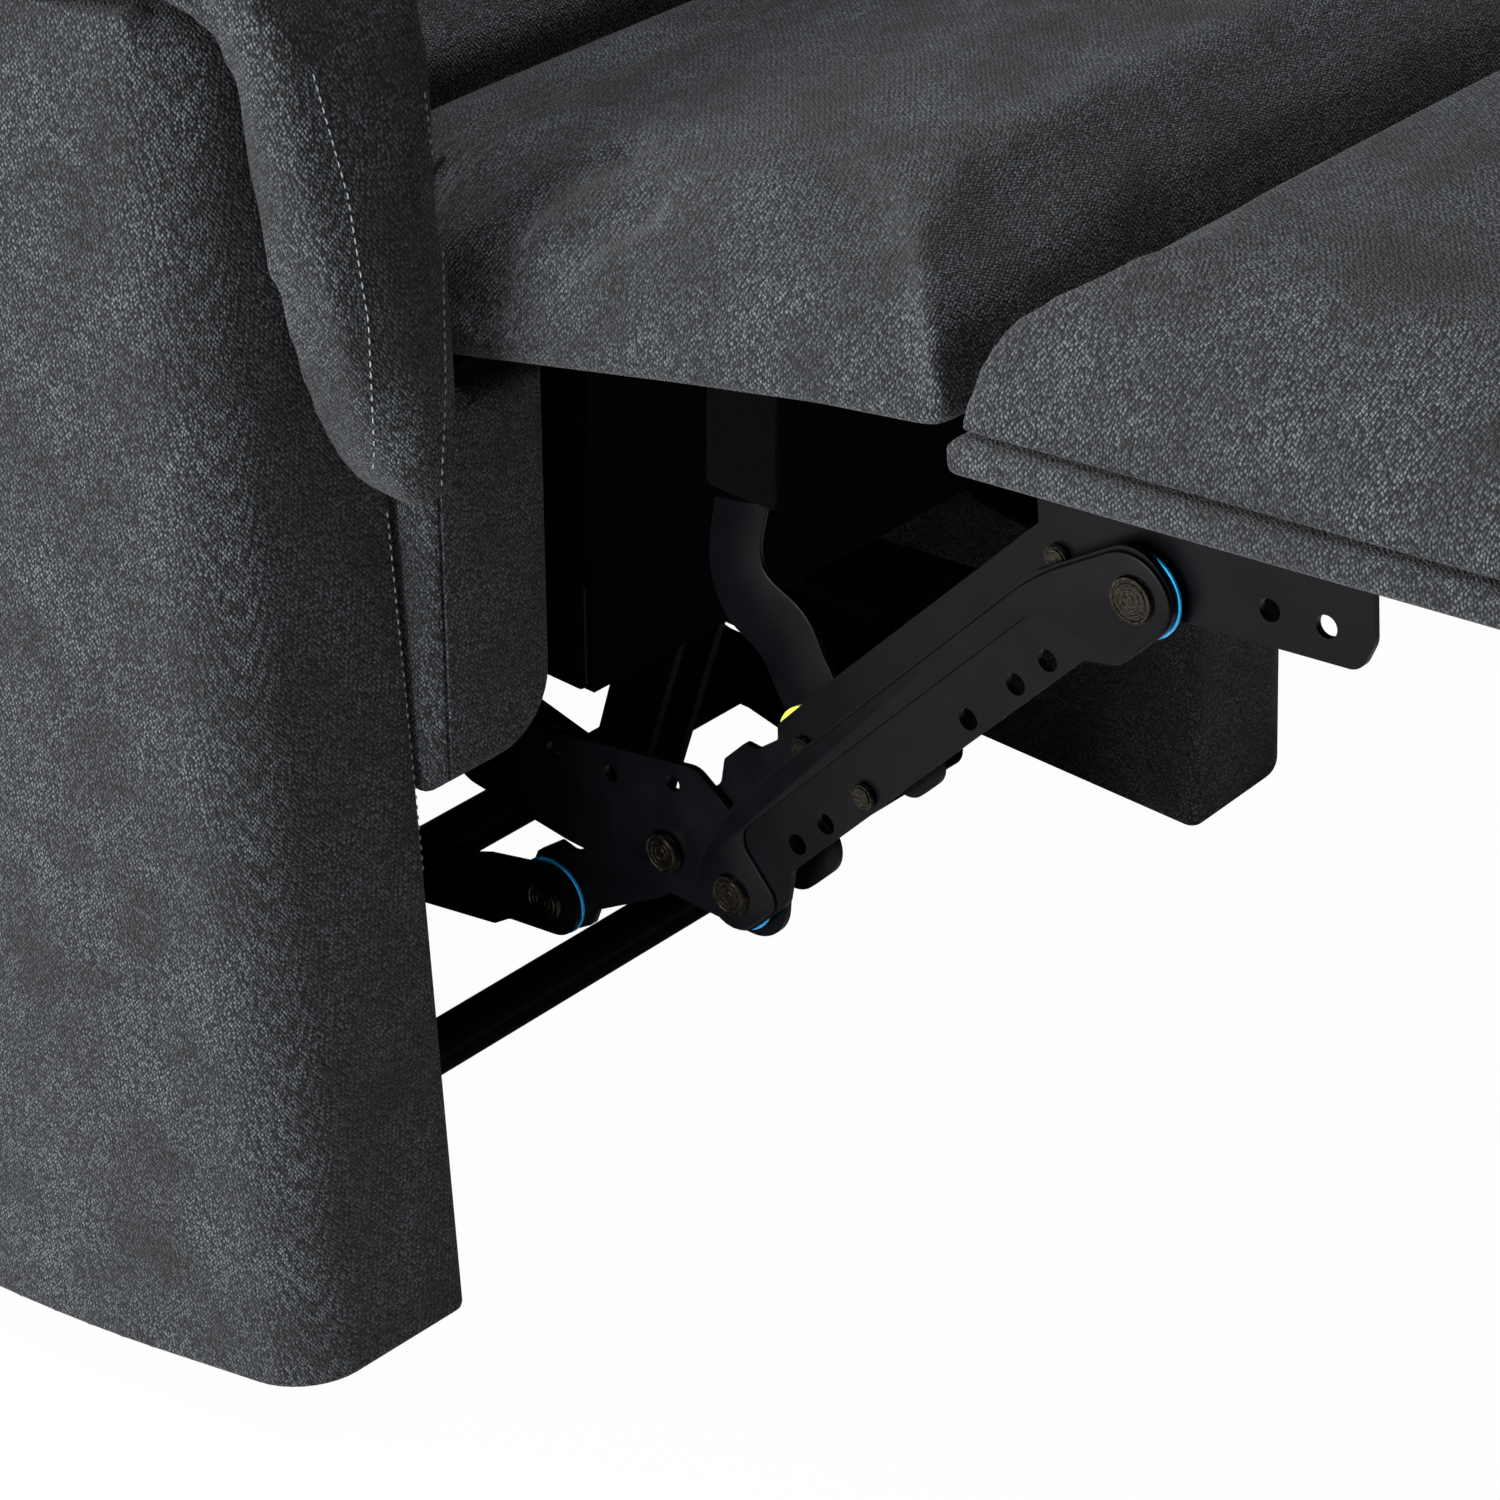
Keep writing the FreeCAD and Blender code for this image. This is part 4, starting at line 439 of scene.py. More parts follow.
def facing():
    """The rolled strip of fabric beside the slot for the linkage, on the right, with the sunk
    seam that joins it to the arm."""
    low, high = spot(-254.6, -26, 274.8), spot(-185.2, -3, 445)
    piece = slab("seat_facing_right", (low.x, high.y, low.z), (high.x, low.y, high.z))
    shaping(piece)
    pick(piece, "EDGE", lambda c, d: abs(d.y) > 0.9 and c.x > -0.2 and c.z < 0.3)
    bpy.ops.mesh.bevel(offset=0.032, segments=9, profile=0.5)
    pick(piece, "FACE", lambda c, n: n.y < -0.9)
    bpy.ops.mesh.bevel(offset=0.011, segments=6, profile=0.5)
    seam = -0.2470
    slices(piece, "X", [seam - 0.0013, seam, seam + 0.0013])
    pick(piece, "VERT", lambda co, n: abs(co.x - seam) < 1e-4 and co.y < low.y - 0.018)
    bpy.ops.transform.translate(value=(0, 0.0025, 0))
    return smooth(shaped(piece))


def front_cloth():
    """The black cloth drawn over the front board of the seat box."""
    low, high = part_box("seat_front_board")
    return slab("seat_front_cloth", low, high)


def board_cover():
    """The fabric round the footrest board: the thin border below the pad."""
    piece = slab("footrest_border", (-PAD_HALF, -0.322, 0), (PAD_HALF, 0, 0.0128))
    shaping(piece)
    pick(piece, "EDGE", lambda c, d: True)
    bpy.ops.mesh.bevel(offset=0.004, segments=3, profile=0.5)
    shaped(piece)
    piece.rotation_euler.x = -FOOTREST_SLOPE
    piece.location = spot(0, 238, 497.8)
    settle(piece)
    return smooth(piece)


def outer_back():
    """The fabric shell behind the back frame, open to the front."""
    piece = slab("back_outer_cover", (-0.245, -0.0144, 0.04), (0.245, 0.0362, 0.63))
    shaping(piece)
    pick(piece, "FACE", lambda c, n: n.y < -0.9)
    bpy.ops.mesh.delete(type="FACE")
    pick(piece, "EDGE", lambda c, d: c.y > -0.01)
    bpy.ops.mesh.bevel(offset=0.008, segments=4, profile=0.5)
    shaped(piece)
    piece.location = HINGE
    settle(piece)
    finish_with(piece, "SOLIDIFY", thickness=0.004, offset=-1)
    leaned(piece, BACK_LEAN, HINGE)
    return smooth(piece)


def pocket():
    """The open-topped cloth pocket on the outer side of the right arm."""
    low, high = spot(-411.4, -490, 340), spot(-389.4, -310, 460)
    piece = slab("side_pocket_right", (low.x, high.y, low.z), (high.x, low.y, high.z))
    shaping(piece)
    pick(piece, "EDGE", lambda c, d: (abs(d.z) > 0.9 or c.z < 0.341) and c.x < -0.40)
    bpy.ops.mesh.bevel(offset=0.007, segments=4, profile=0.5)
    pick(piece, "FACE", lambda c, n: n.z > 0.9)
    bpy.ops.mesh.inset(thickness=0.0026)
    bpy.ops.mesh.extrude_region_move(TRANSFORM_OT_translate={"value": (0, 0, -0.1165)})
    return smooth(shaped(piece))


# Thread

def skin(piece):
    """A piece's faces, ready for lines of sight."""
    corners = [piece.matrix_world @ v.co for v in piece.data.vertices]
    return BVHTree.FromPolygons(corners, [tuple(f.vertices) for f in piece.data.polygons])


def seen_on(tree, place):
    """Where the photograph's line of sight through a place meets a skin, and which way the
    skin faces there."""
    eye = Vector(VIEW)
    met, normal, _, _ = tree.ray_cast(eye, (place - eye).normalized())
    return None if met is None else (met, normal)


STITCH_PACE = 0.0046  # from one stitch to the next
STITCH_LEAP = 0.012  # a longer step falls off the cover's edge, and has no stitch


def stitches(name, cover, *lines):
    """Rows of stitches on a cover. One stitch is modelled, and copied along each row."""
    one = start(name, "cylinder", vertices=6, radius=0.00038, depth=0.0027,
                end_fill_type="NGON", rotation=(0, math.pi / 2, 0))
    shaping(one)
    slices(one, "X", [-0.0006, 0.0006])
    pick(one, "VERT", lambda co, n: abs(co.x) > 0.001)
    bpy.ops.transform.resize(value=(1, 0.55, 0.55))
    bpy.ops.transform.translate(value=(0, 0, -0.0004))
    shaped(one)
    tree = skin(cover)
    copies = []
    for line in lines:
        ends = [spot(*place) for place in line]
        track, left = [], 0.0
        for a, b in zip(ends, ends[1:]):
            while left < (b - a).length:
                track.append(a.lerp(b, left / (b - a).length))
                left += STITCH_PACE
            left -= (b - a).length
        met = [seen_on(tree, place) for place in track]
        for here, after in zip(met, met[1:]):
            if here is None or after is None or (after[0] - here[0]).length > STITCH_LEAP:
                continue
            place, normal = here
            out = normal if normal.dot(Vector(VIEW) - place) > 0 else -normal
            along = (after[0] - place).normalized()
            side = out.cross(along).normalized()
            turn = Matrix((along, side, along.cross(side))).transposed().to_4x4()
            copy = one.copy()
            copy.data = one.data.copy()
            bpy.context.scene.collection.objects.link(copy)
            copy.matrix_world = Matrix.Translation(place + out * 0.0003) @ turn
            copies.append(copy)
    alone(copies[0])
    for copy in copies:
        copy.select_set(True)
    bpy.ops.object.join()
    joined = bpy.context.object
    bpy.data.objects.remove(one)
    joined.name = joined.data.name = name
    return smooth(settle(joined), math.radians(60))


# Linkage

# the pivots, as (ahead, up)
OUTER_LOW, OUTER_HIGH = (86.0, 232.8), (277.4, 439.2)
INNER_MID, INNER_HIGH, INNER_LOW = (42.0, 230.8), (237.0, 437.6), (-27.2, 177.7)
PROP_PIN = (113.0, 306.0)


def cut_sheet(name, outline, face, thick, edge):
    """A flat piece cut to an outline of (ahead, up, corner radius) in millimetres, its face
    looking outward from the chair's right side and its edges rounded."""
    piece = start(name, "circle", vertices=len(outline), radius=1.0, fill_type="NGON")
    shaping(piece)
    # the corners wait far to one side and are set in place one by one
    aside = 3.0
    bpy.ops.mesh.select_all(action="SELECT")
    bpy.ops.transform.translate(value=(aside, 0, 0))
    for ahead, up, _ in outline:
        waiting = [v for v in bmesh.from_edit_mesh(piece.data).verts if v.co.x > aside / 2]
        here = min(waiting, key=lambda v: v.index).co.copy()
        pick(piece, "VERT", lambda co, n: (co - here).length < 1e-4)
        bpy.ops.transform.translate(value=Vector((ahead / 1000, up / 1000, 0)) - here)
    for ahead, up, radius in outline:
        corner = Vector((ahead, up)) / 1000
        pick(piece, "VERT", lambda co, n: (co.xy - corner).length < 1e-5)
        bpy.ops.mesh.bevel(offset=radius / 1000, segments=6, affect="VERTICES")
    outward()
    shaped(piece)
    # ahead and up in the sheet become ahead and up on the chair
    piece.matrix_world = Matrix(((0, 0, 1, face / 1000), (-1, 0, 0, ARM_FRONTS / 1000),
                                 (0, 1, 0, 0), (0, 0, 0, 1)))
    settle(piece)
    finish_with(piece, "SOLIDIFY", thickness=thick / 1000, offset=0.0)
    shaping(piece)
    outward()
    shaped(piece)
    finish_with(piece, "BEVEL", width=edge / 1000, segments=3, limit_method="ANGLE",
                angle_limit=math.radians(40))
    return smooth(piece)


def link_fold():
    """The pressed-out top strip and ends of the outer link."""
    low, high = Vector(OUTER_LOW), Vector(OUTER_HIGH)
    span = (high - low).length
    run = (high - low).normalized()
    side = Vector((-run.y, run.x))
    outline = []
    for far, off, radius in (
            (-15.5, -15.5, 14), (21, -15.5, 7), (23, 18, 9), (span - 44, 18, 9),
            (span - 25, -15.5, 8), (span + 15.5, -15.5, 14), (span + 15.5, 15.5, 14),
            (span - 36, 28.5, 13), (34, 28.5, 15), (-15.5, 15.5, 14)):
        place = low + run * far + side * off
        outline.append((place.x, place.y, radius))
    return cut_sheet("outer_link_fold_right", outline, -179.7, 1.5, 1.2)


def rivet_face(name, place, face, edge):
    """The ringed face of a turned rivet head, lying on the head."""
    piece = start(name, "circle", vertices=32, radius=edge / 1000, fill_type="NGON")
    shaping(piece)
    bpy.ops.mesh.select_all(action="SELECT")
    unit = edge / 9300  # the profile is drawn for a head of 9.3 mm radius
    groove = ((0.9, 0), (0.45, -0.4), (0.5, 0), (0.45, 0.4))
    for narrow, high in ((0.5, 1.55),) + 3 * groove:
        bpy.ops.mesh.inset(thickness=narrow * unit, depth=high * unit)
    shaped(piece)
    piece.rotation_euler.y = -math.pi / 2
    piece.location = spot(face, *place)
    settle(piece)
    return smooth(piece, math.radians(30))


def washer(name, place, near, far, edge):
    """A flat moulded ring between two plates."""
    eye = 5.3  # the radius of its hole
    piece = start(name, "circle", vertices=40, radius=eye / 1000, fill_type="NOTHING")
    shaping(piece)
    bpy.ops.mesh.select_all(action="SELECT")
    bpy.ops.mesh.extrude_region_move()
    bpy.ops.transform.resize(value=(edge / eye, edge / eye, 1))
    shaped(piece)
    piece.rotation_euler.y = -math.pi / 2
    piece.location = spot((near + far) / 2, *place)
    settle(piece)
    finish_with(piece, "SOLIDIFY", thickness=(far - near) / 1000, offset=0.0)
    return smooth(piece)


def pad_prop():
    """The pressed S-shaped prop, with a raised rib along it and a short top tab. It lies in
    the slot between the inner link and the side plate."""
    rows = (((100, 293), (126, 293)), ((100, 306), (126, 311)), ((98.8, 314), (126, 326)),
            ((92, 322), (124.4, 338)), ((87.5, 333), (117.5, 345)), ((79, 339), (113, 356)),
            ((69, 342.5), (105.5, 364)), ((62.5, 351), (94, 368)), ((58.8, 359.5), (87, 371.5)),
            ((57.2, 370), (84, 378)), ((58.4, 381.6), (84.4, 387)), ((60.5, 393), (87.6, 399)))
    rib = (0.0, 0.8, 1.1, 0.8, 0.0)  # how far the metal is pressed out, across the prop
    plain = 2  # rows up to here have no rib
    wide, long = len(rib) - 1, len(rows) - 1
    piece = start("pad_prop_right", "grid", x_subdivisions=wide, y_subdivisions=long, size=1.0)
    shaping(piece)
    before = [v.co.copy() for v in bmesh.from_edit_mesh(piece.data).verts]
    for here in before:
        column, row = round((here.x + 0.5) * wide), round((here.y + 0.5) * long)
        rear, front = (Vector(end) for end in rows[row])
        flat = rear.lerp(front, column / wide)
        high = rib[column] if row > plain else 0.0
        target = spot(-160.6 - high, *flat)
        pick(piece, "VERT", lambda co, n: (co - here).length < 1e-4)
        bpy.ops.transform.translate(value=target - here)
    pick(piece, "EDGE", lambda c, d: c.z > 0.392 and abs(d.y) > 0.9)
    for step in (-0.0002, 0, 0.003), (-0.0003, 0, 0.001):
        bpy.ops.mesh.extrude_region_move(TRANSFORM_OT_translate={"value": step})
    outward()
    shaped(piece)
    finish_with(piece, "SOLIDIFY", thickness=0.0024, offset=0.0)
    finish_with(piece, "BEVEL", width=0.0006, segments=2, limit_method="ANGLE",
                angle_limit=math.radians(50))
    subdivided(piece, 2)
    return smooth(piece)


def prop_block():
    """The black padded block between a prop and the front pad."""
    outline = ((57, 401, 3), (93, 401, 3), (93, 475.4, 2), (57, 467.3, 2))
    return cut_sheet("prop_block_right", outline, -161.2, 2.6, 1.0)


# Looks

def tint(hexed):
    """Linear colour of an sRGB hex value."""
    numbers = [int(hexed[k:k + 2], 16) / 255 for k in (0, 2, 4)]
    return tuple(n / 12.92 if n <= 0.04045 else ((n + 0.055) / 1.055) ** 2.4
                 for n in numbers) + (1.0,)


def add(tree, kind, links=None, **settings):
    """Add one node with its settings, the values of its sockets and its links."""
    node = tree.nodes.new("ShaderNode" + kind)
    for key, value in settings.items():
        if key.startswith("in_"):
            spoken = key[3:]
            node.inputs[int(spoken) if spoken.isdigit() else spoken].default_value = value
        else:
            setattr(node, key, value)
    for socket, source in (links or {}).items():
        tree.links.new(source, node.inputs[socket])
    return node


def look(name, **shader):
    """An empty material: its tree, its shader and its place on the chair."""
    material = bpy.data.materials.new(name)
    material.use_nodes = True
    tree = material.node_tree
    tree.nodes.clear()
    surface = add(tree, "BsdfPrincipled")
    for key, value in shader.items():
        surface.inputs[key.replace("_", " ")].default_value = value
    add(tree, "OutputMaterial", {"Surface": surface.outputs[0]})
    place = add(tree, "TexCoord").outputs["Object"]
    return material, tree, surface, place


def given(tree, surface, **sources):
    """Feed sockets of the shader, named with _ for a space, from other nodes."""
    for socket, source in sources.items():
        tree.links.new(source, surface.inputs[socket.replace("_", " ")])


def bumped(tree, surface, height, strength, distance, **how):
    """Fine relief from a height."""
    bump = add(tree, "Bump", {"Height": height}, in_Strength=strength, in_Distance=distance,
               **how)
    given(tree, surface, Normal=bump.outputs[0])


def ramp(tree, factor, *stops):
    """A colour ramp of (position, hex) stops."""
    node = add(tree, "ValToRGB", {0: factor})
    points = node.color_ramp.elements
    points[0].position, points[0].color = stops[0][0], tint(stops[0][1])
    points[1].position, points[1].color = stops[-1][0], tint(stops[-1][1])
    for position, hexed in stops[1:-1]:
        points.new(position).color = tint(hexed)
    return node.outputs[0]


def chenille_woven():
    """Polyester chenille, woven. Thick soft yarns cross every 1.3 mm, so the face is pebbled
    and each yarn takes the light a little apart; the gaps between the yarns are darkened in
    the colour, as painted shade. Worn nap gives wide cloudy changes of tone, and there is no
    gloss but a soft bloom at the edges."""
    material, tree, surface, place = look(
        "polyester_chenille_woven", Roughness=0.88, IOR=1.46, Sheen_Weight=0.08,
        Sheen_Roughness=0.4)
    turned_cloth = add(tree, "Mapping", {"Vector": place}, in_Rotation=(0.6, 0.5, 0.7),
                       in_Scale=(1.0, 1.25, 0.85))
    yarn = add(tree, "TexVoronoi", {"Vector": turned_cloth.outputs[0]}, in_Scale=1 / 0.0013,
               in_Randomness=0.5)
    fuzz = add(tree, "TexNoise", {"Vector": place}, in_Scale=1 / 0.0007, in_Detail=2.0)
    nap = add(tree, "TexNoise", {"Vector": place}, in_Scale=1 / 0.045, in_Detail=5.0,
              in_Roughness=0.62)
    base = ramp(tree, nap.outputs[0], (0.34, "3d4248"), (0.66, "757b84"))
    single = add(tree, "SeparateColor", {0: yarn.outputs["Color"]})
    twist = ramp(tree, single.outputs[0], (0.0, "5c5c5c"), (1.0, "ffffff"))
    mixed = add(tree, "Mix", {6: base, 7: twist}, data_type="RGBA", blend_type="MULTIPLY",
                in_0=1.0)
    # painted shade: the colour grows darker in the gaps between the yarns
    painted_gap_shade = ramp(tree, yarn.outputs["Distance"], (0.22, "ffffff"), (0.6, "262626"))
    shaded = add(tree, "Mix", {6: mixed.outputs[2], 7: painted_gap_shade}, data_type="RGBA",
                 blend_type="MULTIPLY", in_0=1.0)
    rough = add(tree, "MapRange", {0: nap.outputs[0]}, in_3=0.8, in_4=0.95)
    given(tree, surface, Base_Color=shaded.outputs[2], Roughness=rough.outputs[0])
    height = add(tree, "Math", {0: fuzz.outputs[0]}, operation="MULTIPLY", in_1=-0.35)
    relief = add(tree, "Math", {0: yarn.outputs["Distance"], 1: height.outputs[0]},
                 operation="ADD")
    bumped(tree, surface, relief.outputs[0], 1.0, 0.001, invert=True)
    return material


def nonwoven_black():
    """Spun-bonded polyester, needled. A thin dull black cloth with a faint fibre nap."""
    material, tree, surface, place = look("polyester_nonwoven_needled", Roughness=1.0,
                                          Specular_IOR_Level=0.04)
    fibre = add(tree, "TexNoise", {"Vector": place}, in_Scale=1 / 0.0012, in_Detail=5.0,
                in_Distortion=1.5)
    given(tree, surface,
          Base_Color=ramp(tree, fibre.outputs[0], (0.4, "020202"), (0.75, "070708")))
    bumped(tree, surface, fibre.outputs[0], 0.5, 0.0003)
    return material


def steel_e_coated():
    """Low carbon steel, stamped and e-coated. A thin satin black with soft wide highlights, a
    little duller where it was handled."""
    material, tree, surface, place = look("steel_stamped_black_ecoat", Roughness=0.28, IOR=1.5,
                                          Specular_IOR_Level=0.08)
    cloud = add(tree, "TexNoise", {"Vector": place}, in_Scale=1 / 0.02, in_Detail=5.0)
    grain = add(tree, "TexNoise", {"Vector": place}, in_Scale=1 / 0.0009, in_Detail=2.0)
    rough = add(tree, "MapRange", {0: cloud.outputs[0]}, in_3=0.24, in_4=0.38)
    given(tree, surface, Roughness=rough.outputs[0],
          Base_Color=ramp(tree, cloud.outputs[0], (0.3, "040406"), (0.8, "090a0d")))
    bumped(tree, surface, grain.outputs[0], 0.25, 0.00008)
    return material


def speckled(name, dark, light, grain, depth, rough, **shader):
    """A plain moulded, drawn or turned finish: fine mottling in colour, gloss and relief."""
    material, tree, surface, place = look(name, **shader)
    mottle = add(tree, "TexNoise", {"Vector": place}, in_Scale=1 / grain, in_Detail=4.0)
    sheen = add(tree, "MapRange", {0: mottle.outputs[0]}, in_3=rough[0], in_4=rough[1])
    given(tree, surface, Roughness=sheen.outputs[0],
          Base_Color=ramp(tree, mottle.outputs[0], (0.35, dark), (0.7, light)))
    bumped(tree, surface, mottle.outputs[0], 0.4, depth)
    return material


def plywood():
    """Beech plywood, sawn: straight brown grain along the boards, dull and a little open."""
    material, tree, surface, place = look("beech_plywood_sawn", Roughness=0.7)
    long = add(tree, "Mapping", {"Vector": place}, in_Scale=(60.0, 3.0, 60.0))
    grain = add(tree, "TexNoise", {"Vector": long.outputs[0]}, in_Scale=6.0, in_Detail=6.0)
    given(tree, surface,
          Base_Color=ramp(tree, grain.outputs[0], (0.3, "8d6b45"), (0.7, "b89468")))
    bumped(tree, surface, grain.outputs[0], 0.3, 0.0003)
    return material


chenille = chenille_woven()
cloth = nonwoven_black()
ecoat = steel_e_coated()
wood = plywood()
# Turned steel, oiled black: a little brown where its high rings are worn
turned = speckled("steel_turned_oil_black", "161412", "403b34", 0.0012, 0.00005, (0.22, 0.4),
                  Metallic=1.0)
# Nylon, moulded: smooth and evenly blue
nylon = speckled("nylon_moulded_blue", "1b9fe6", "35b4f2", 0.004, 0.00003, (0.3, 0.42),
                 IOR=1.53)
# Nylon, moulded: the softer yellow-green grade of the small washers
nylon_green = speckled("nylon_moulded_yellow_green", "b9c93c", "d2de58", 0.004, 0.00003,
                       (0.35, 0.45), IOR=1.53)
# Polyester thread, twisted: pale grey, with the soft gloss of its filaments
thread = speckled("polyester_thread_twisted", "74797d", "9a9fa3", 0.0008, 0.00004, (0.5, 0.65))
# Spring steel wire, drawn: bright grey with long fine marks
wire = speckled("spring_steel_drawn", "55565a", "85868a", 0.002, 0.00004, (0.3, 0.5),
                Metallic=1.0)
# Nitrile rubber, moulded: dead black and dull
rubber = speckled("nitrile_rubber_moulded", "101010", "1a1a1b", 0.003, 0.0001, (0.7, 0.85))
# ABS, moulded against a spark-eroded tool: dark, with a fine even stipple
plastic = speckled("abs_moulded_black", "131416", "1d1f22", 0.0012, 0.00012, (0.42, 0.58),
                   IOR=1.52)
# Silicone rubber, moulded: soft grey keys
keys = speckled("silicone_moulded_grey", "8f949a", "a3a8ae", 0.002, 0.00006, (0.5, 0.62))
# Carbon steel rod, hard chromed and polished
chromed = speckled("steel_rod_hard_chromed", "9a9da1", "b4b7ba", 0.01, 0.00001, (0.12, 0.2),
                   Metallic=1.0)

FINISHES = (
    (ecoat, "base_rails", "base_front_tube", "base_rear_tube", "rear_lift_arms",
     "front_lift_arms", "side_plate_right", "side_plate_left", "chassis_front_tube",
     "chassis_rear_tube", "arm_brackets", "footrest_drive_links", "drive_tube",
     "footrest_outer_links", "footrest_inner_links", "footrest_guide_links",
     "footrest_brackets", "back_lever"),
    (turned, "chassis_pins", "back_hinge_pins", "outer_link_rivets", "inner_link_rivets",
     "guide_link_rivets", "bracket_fasteners"),
    (nylon, "outer_link_washers"),
    (wood, "seat_rear_board", "back_frame"),
    (cloth, "seat_runners", "seat_side_boards"),
    (wire, "seat_springs"),
    (rubber, "glides"),
    (plastic, "footrest_actuator", "lift_actuator", "back_actuator", "power_supply",
     "handset"),
    (chromed, "footrest_push_rod", "lift_push_rod", "back_push_rod"),
    (keys, "button_recline", "button_sit_up", "button_lift", "button_lower"),
)


def dress(piece, finish):
    """Give a piece its one material."""
    piece.data.materials.clear()
    piece.data.materials.append(finish)
    return piece


for finish, *nodes in FINISHES:
    for node in nodes:
        dress(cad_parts[node], finish)


def stands_for(piece, body, finish, slot, *nodes):
    """Dress a new piece, let it ride on its body and hide the nodes it replaces."""
    dress(piece, finish)
    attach(piece, body)
    if nodes:
        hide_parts(*nodes)
    return piece


def both_sides(piece, body, finish, slot, *nodes):
    """A piece on the right and its twin on the left."""
    stands_for(piece, body, finish, slot, *nodes)
    twin = other_side(piece, piece.name.replace("_right", "_left"))
    stands_for(twin, body, finish, slot, *nodes)


def soft(piece, body, fill, *nodes):
    """An upholstered piece. Its fill, from 0, slack, to 1, tight, is not used."""
    stands_for(piece, body, chenille, "woven_fabric", *nodes)
    return piece


arm_right = soft(arm(), "seat", 0.9, "arm_right")
soft(other_side(arm_right, "arm_left_cover"), "seat", 0.9, "arm_left")
pillow_right = soft(arm_pillow(), "seat", 0.7, "arm_pad_right")
soft(other_side(pillow_right, "arm_pad_left_cover"), "seat", 0.7, "arm_pad_left")
soft(seat_cushion(), "seat", 0.8, "seat_cushion")
bridging = soft(front_pad(), "seat", 0.7, "seat_front_pad", "seat_bridge_pad")
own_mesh(bridging)
soft(footrest_pad(), "footrest", 0.7, "footrest_pad")
soft(board_cover(), "footrest", 0.9, "footrest_board")
soft(back_cushion("back_lower_cover", 0.100, 0.285, 0.072), "back", 0.7, "back_cushion_lower")
soft(back_cushion("back_middle_cover", 0.287, 0.455, 0.0684), "back", 0.7,
     "back_cushion_middle")
soft(back_cushion("back_head_cover", 0.457, 0.640, 0.0756), "back", 0.7, "head_cushion")
soft(outer_back(), "back", 0.8, "back_outer_panel")
facing_right = soft(facing(), "seat", 0.8, "seat_facings")
soft(other_side(facing_right, "seat_facing_left"), "seat", 0.8, "seat_facings")
pocket_right = stands_for(pocket(), "seat", chenille, "woven_fabric", "side_pockets")
stands_for(other_side(pocket_right, "side_pocket_left"), "seat", chenille, "woven_fabric",
           "side_pockets")
stands_for(front_cloth(), "seat", cloth, "black_cloth", "seat_front_board")

sewn = stitches("stitches_arm_pad_right", pillow_right,
                ((-322, 20, 609), (-309, 20, 560), (-302, 20, 508), (-302, 20, 456),
                 (-307.5, 20, 421)),
                ((-269.5, 20, 586), (-263.6, 20, 526), (-265, 20, 467), (-270, 20, 419)))
both_sides(sewn, "seat", thread, None)
both_sides(stitches("stitches_arm_right", arm_right, ((-260, -20, 399), (-260, -5, 185))),
           "seat", thread, None)
both_sides(link_fold(), "outer_links", ecoat, "black_steel")
for name, place, face, edge, body in (
        ("outer_low", OUTER_LOW, -181.04, 9.4, "outer_links"),
        ("outer_high", OUTER_HIGH, -181.04, 9.4, "outer_links"),
        ("outer_small", (154.3, 307.2), -181.04, 5.4, "outer_links"),
        ("inner_mid", INNER_MID, -173.14, 9.4, "inner_links"),
        ("prop", PROP_PIN, -169.04, 5.4, "inner_links"),
        ("inner_low", INNER_LOW, -173.04, 9.4, "guide_links"),
        ("inner_high", INNER_HIGH, -173.04, 5.4, "footrest")):
    both_sides(rivet_face("rivet_face_%s_right" % name, place, face, edge), body, turned,
               "pivot_steel")
both_sides(washer("washer_mid_right", INNER_MID, -167.9, -167.0, 17.5), "inner_links", nylon,
           "blue_washer", "inner_link_washers")
both_sides(washer("washer_prop_right", PROP_PIN, -163.9, -161.9, 16.5), "inner_links",
           nylon_green, None)
both_sides(washer("washer_low_right", INNER_LOW, -168.03, -167.07, 17.8), "guide_links", nylon,
           "blue_washer")
both_sides(pad_prop(), "pad_props", ecoat, "black_steel", "pad_props")
both_sides(prop_block(), "pad_props", cloth, "black_cloth")


# Studio

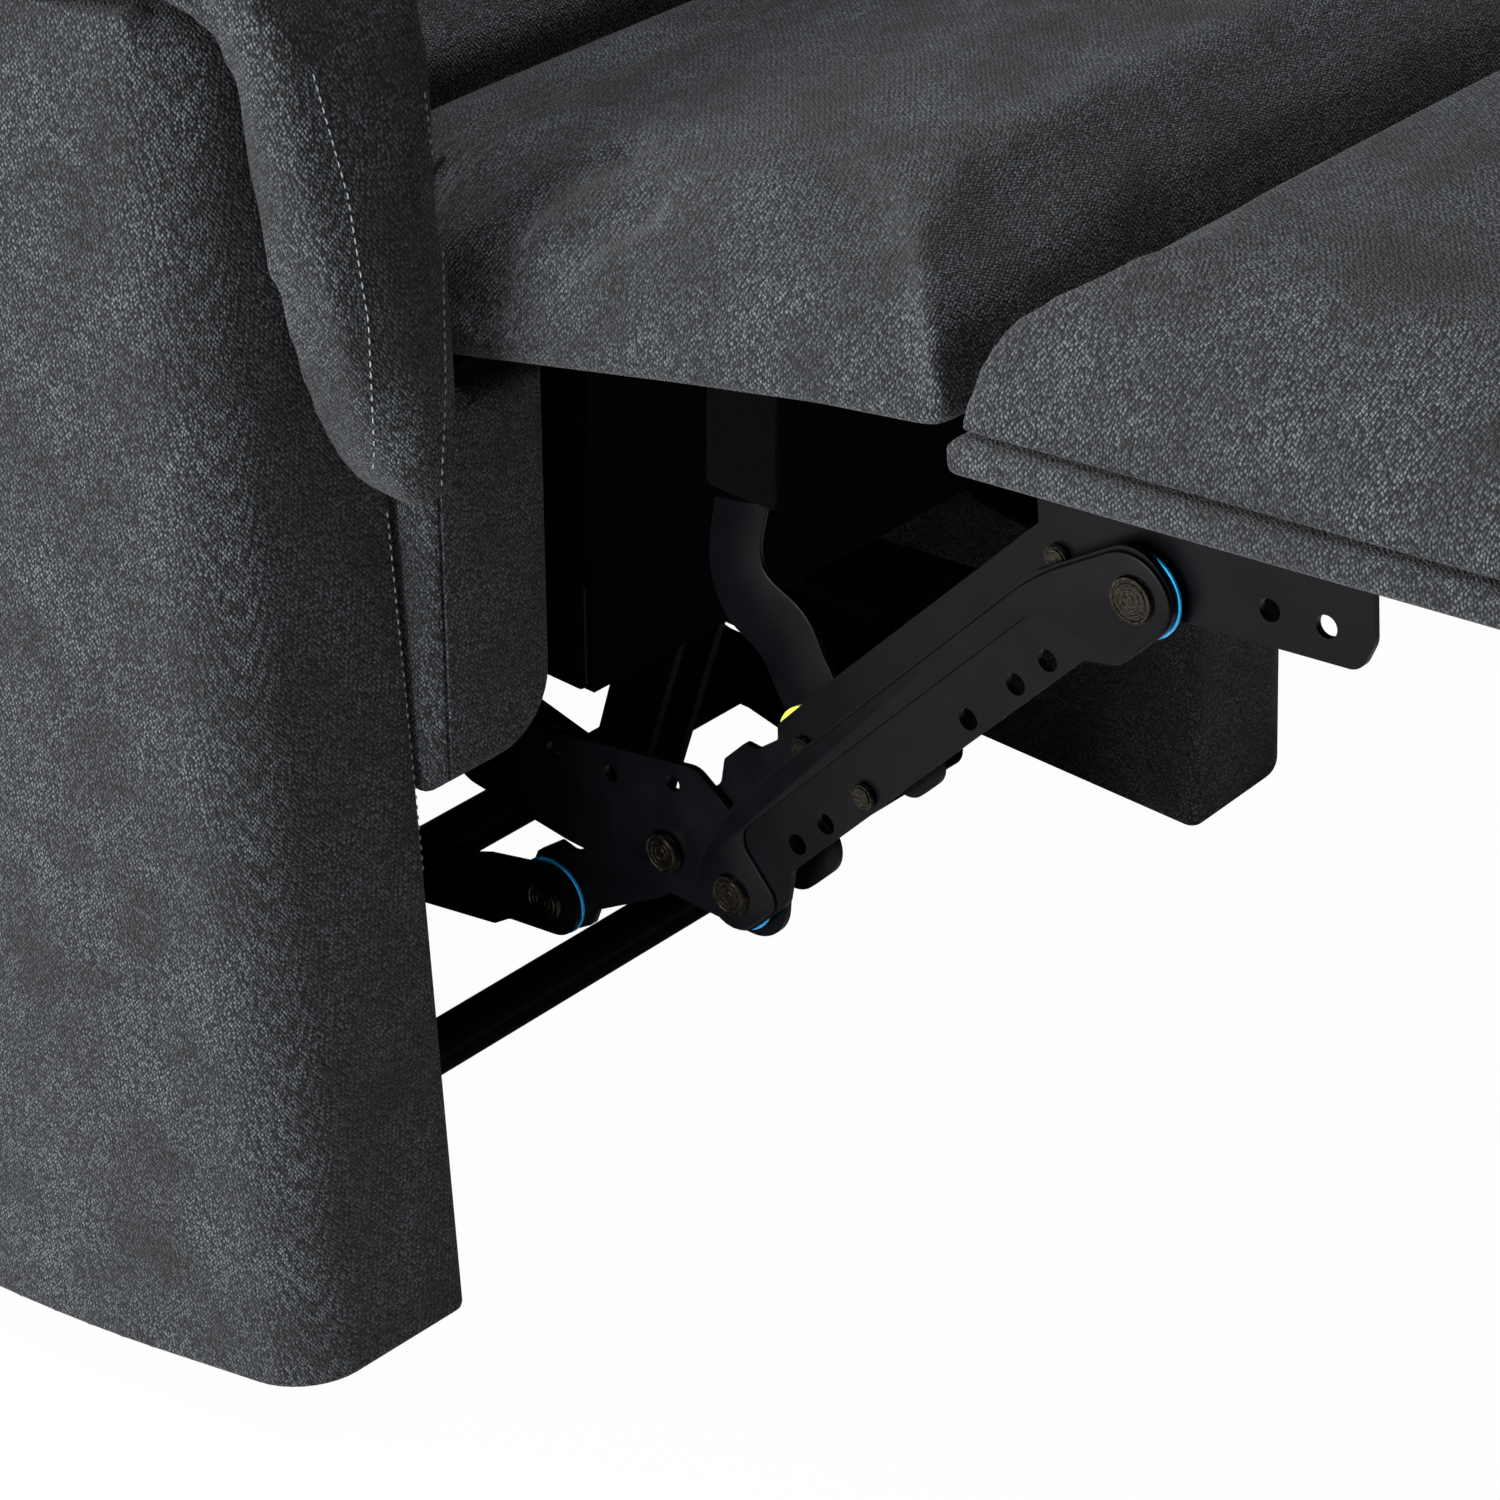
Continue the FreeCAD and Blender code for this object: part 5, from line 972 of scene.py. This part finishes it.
def studio():
    """A white floor, a big soft light overhead, one at the right and a weak one in front."""
    floor = start("studio_floor", "plane", size=14, location=(0, 0, 0))
    material = bpy.data.materials.new("floor_white_paper")
    material.use_nodes = True
    tree = material.node_tree
    tree.nodes.clear()
    paper = add(tree, "BsdfDiffuse", in_Color=tint("f4f4f4"))
    white = add(tree, "Emission", in_Color=(1, 1, 1, 1), in_Strength=1.0)
    path = add(tree, "LightPath")
    share = add(tree, "Math", {0: path.outputs["Is Camera Ray"]}, operation="MULTIPLY",
                in_1=0.98)
    both = add(tree, "MixShader", {0: share.outputs[0], 1: paper.outputs[0],
                                   2: white.outputs[0]})
    add(tree, "OutputMaterial", {"Surface": both.outputs[0]})
    dress(floor, material)
    for name, place, width, power in (("overhead", (-0.3, 0.6, 2.8), 1.7, 66),
                                      ("side_right", (-3.0, 0.25, 0.9), 1.5, 150),
                                      ("front", (0.8, -3.4, 1.8), 1.8, 1.5)):
        lamp = bpy.data.lights.new(name, "AREA")
        lamp.size = width
        lamp.energy = power
        holder = bpy.data.objects.new(name, lamp)
        bpy.context.scene.collection.objects.link(holder)
        holder.location = place
        aim = Vector((0, -0.1, 0.4)) - Vector(place)
        holder.rotation_euler = aim.to_track_quat("-Z", "Y").to_euler()
    world = bpy.data.worlds.new("studio_air")
    bpy.context.scene.world = world
    world.use_nodes = True
    tree = world.node_tree
    tree.nodes.clear()
    path = add(tree, "LightPath")
    level = add(tree, "MapRange", {0: path.outputs["Is Camera Ray"]}, in_3=0.06, in_4=1.0)
    air = add(tree, "Background", {"Strength": level.outputs[0]}, in_Color=(1, 1, 1, 1))
    add(tree, "OutputWorld", {"Surface": air.outputs[0]})


def camera():
    """The photograph's view."""
    lens = bpy.data.cameras.new("view")
    lens.lens = 108
    lens.sensor_width = 36
    holder = bpy.data.objects.new("view", lens)
    bpy.context.scene.collection.objects.link(holder)
    holder.location = VIEW
    holder.rotation_euler = Vector(AIM).to_track_quat("-Z", "Y").to_euler()
    bpy.context.scene.camera = holder


studio()
camera()
bpy.context.scene.view_settings.view_transform = "Standard"
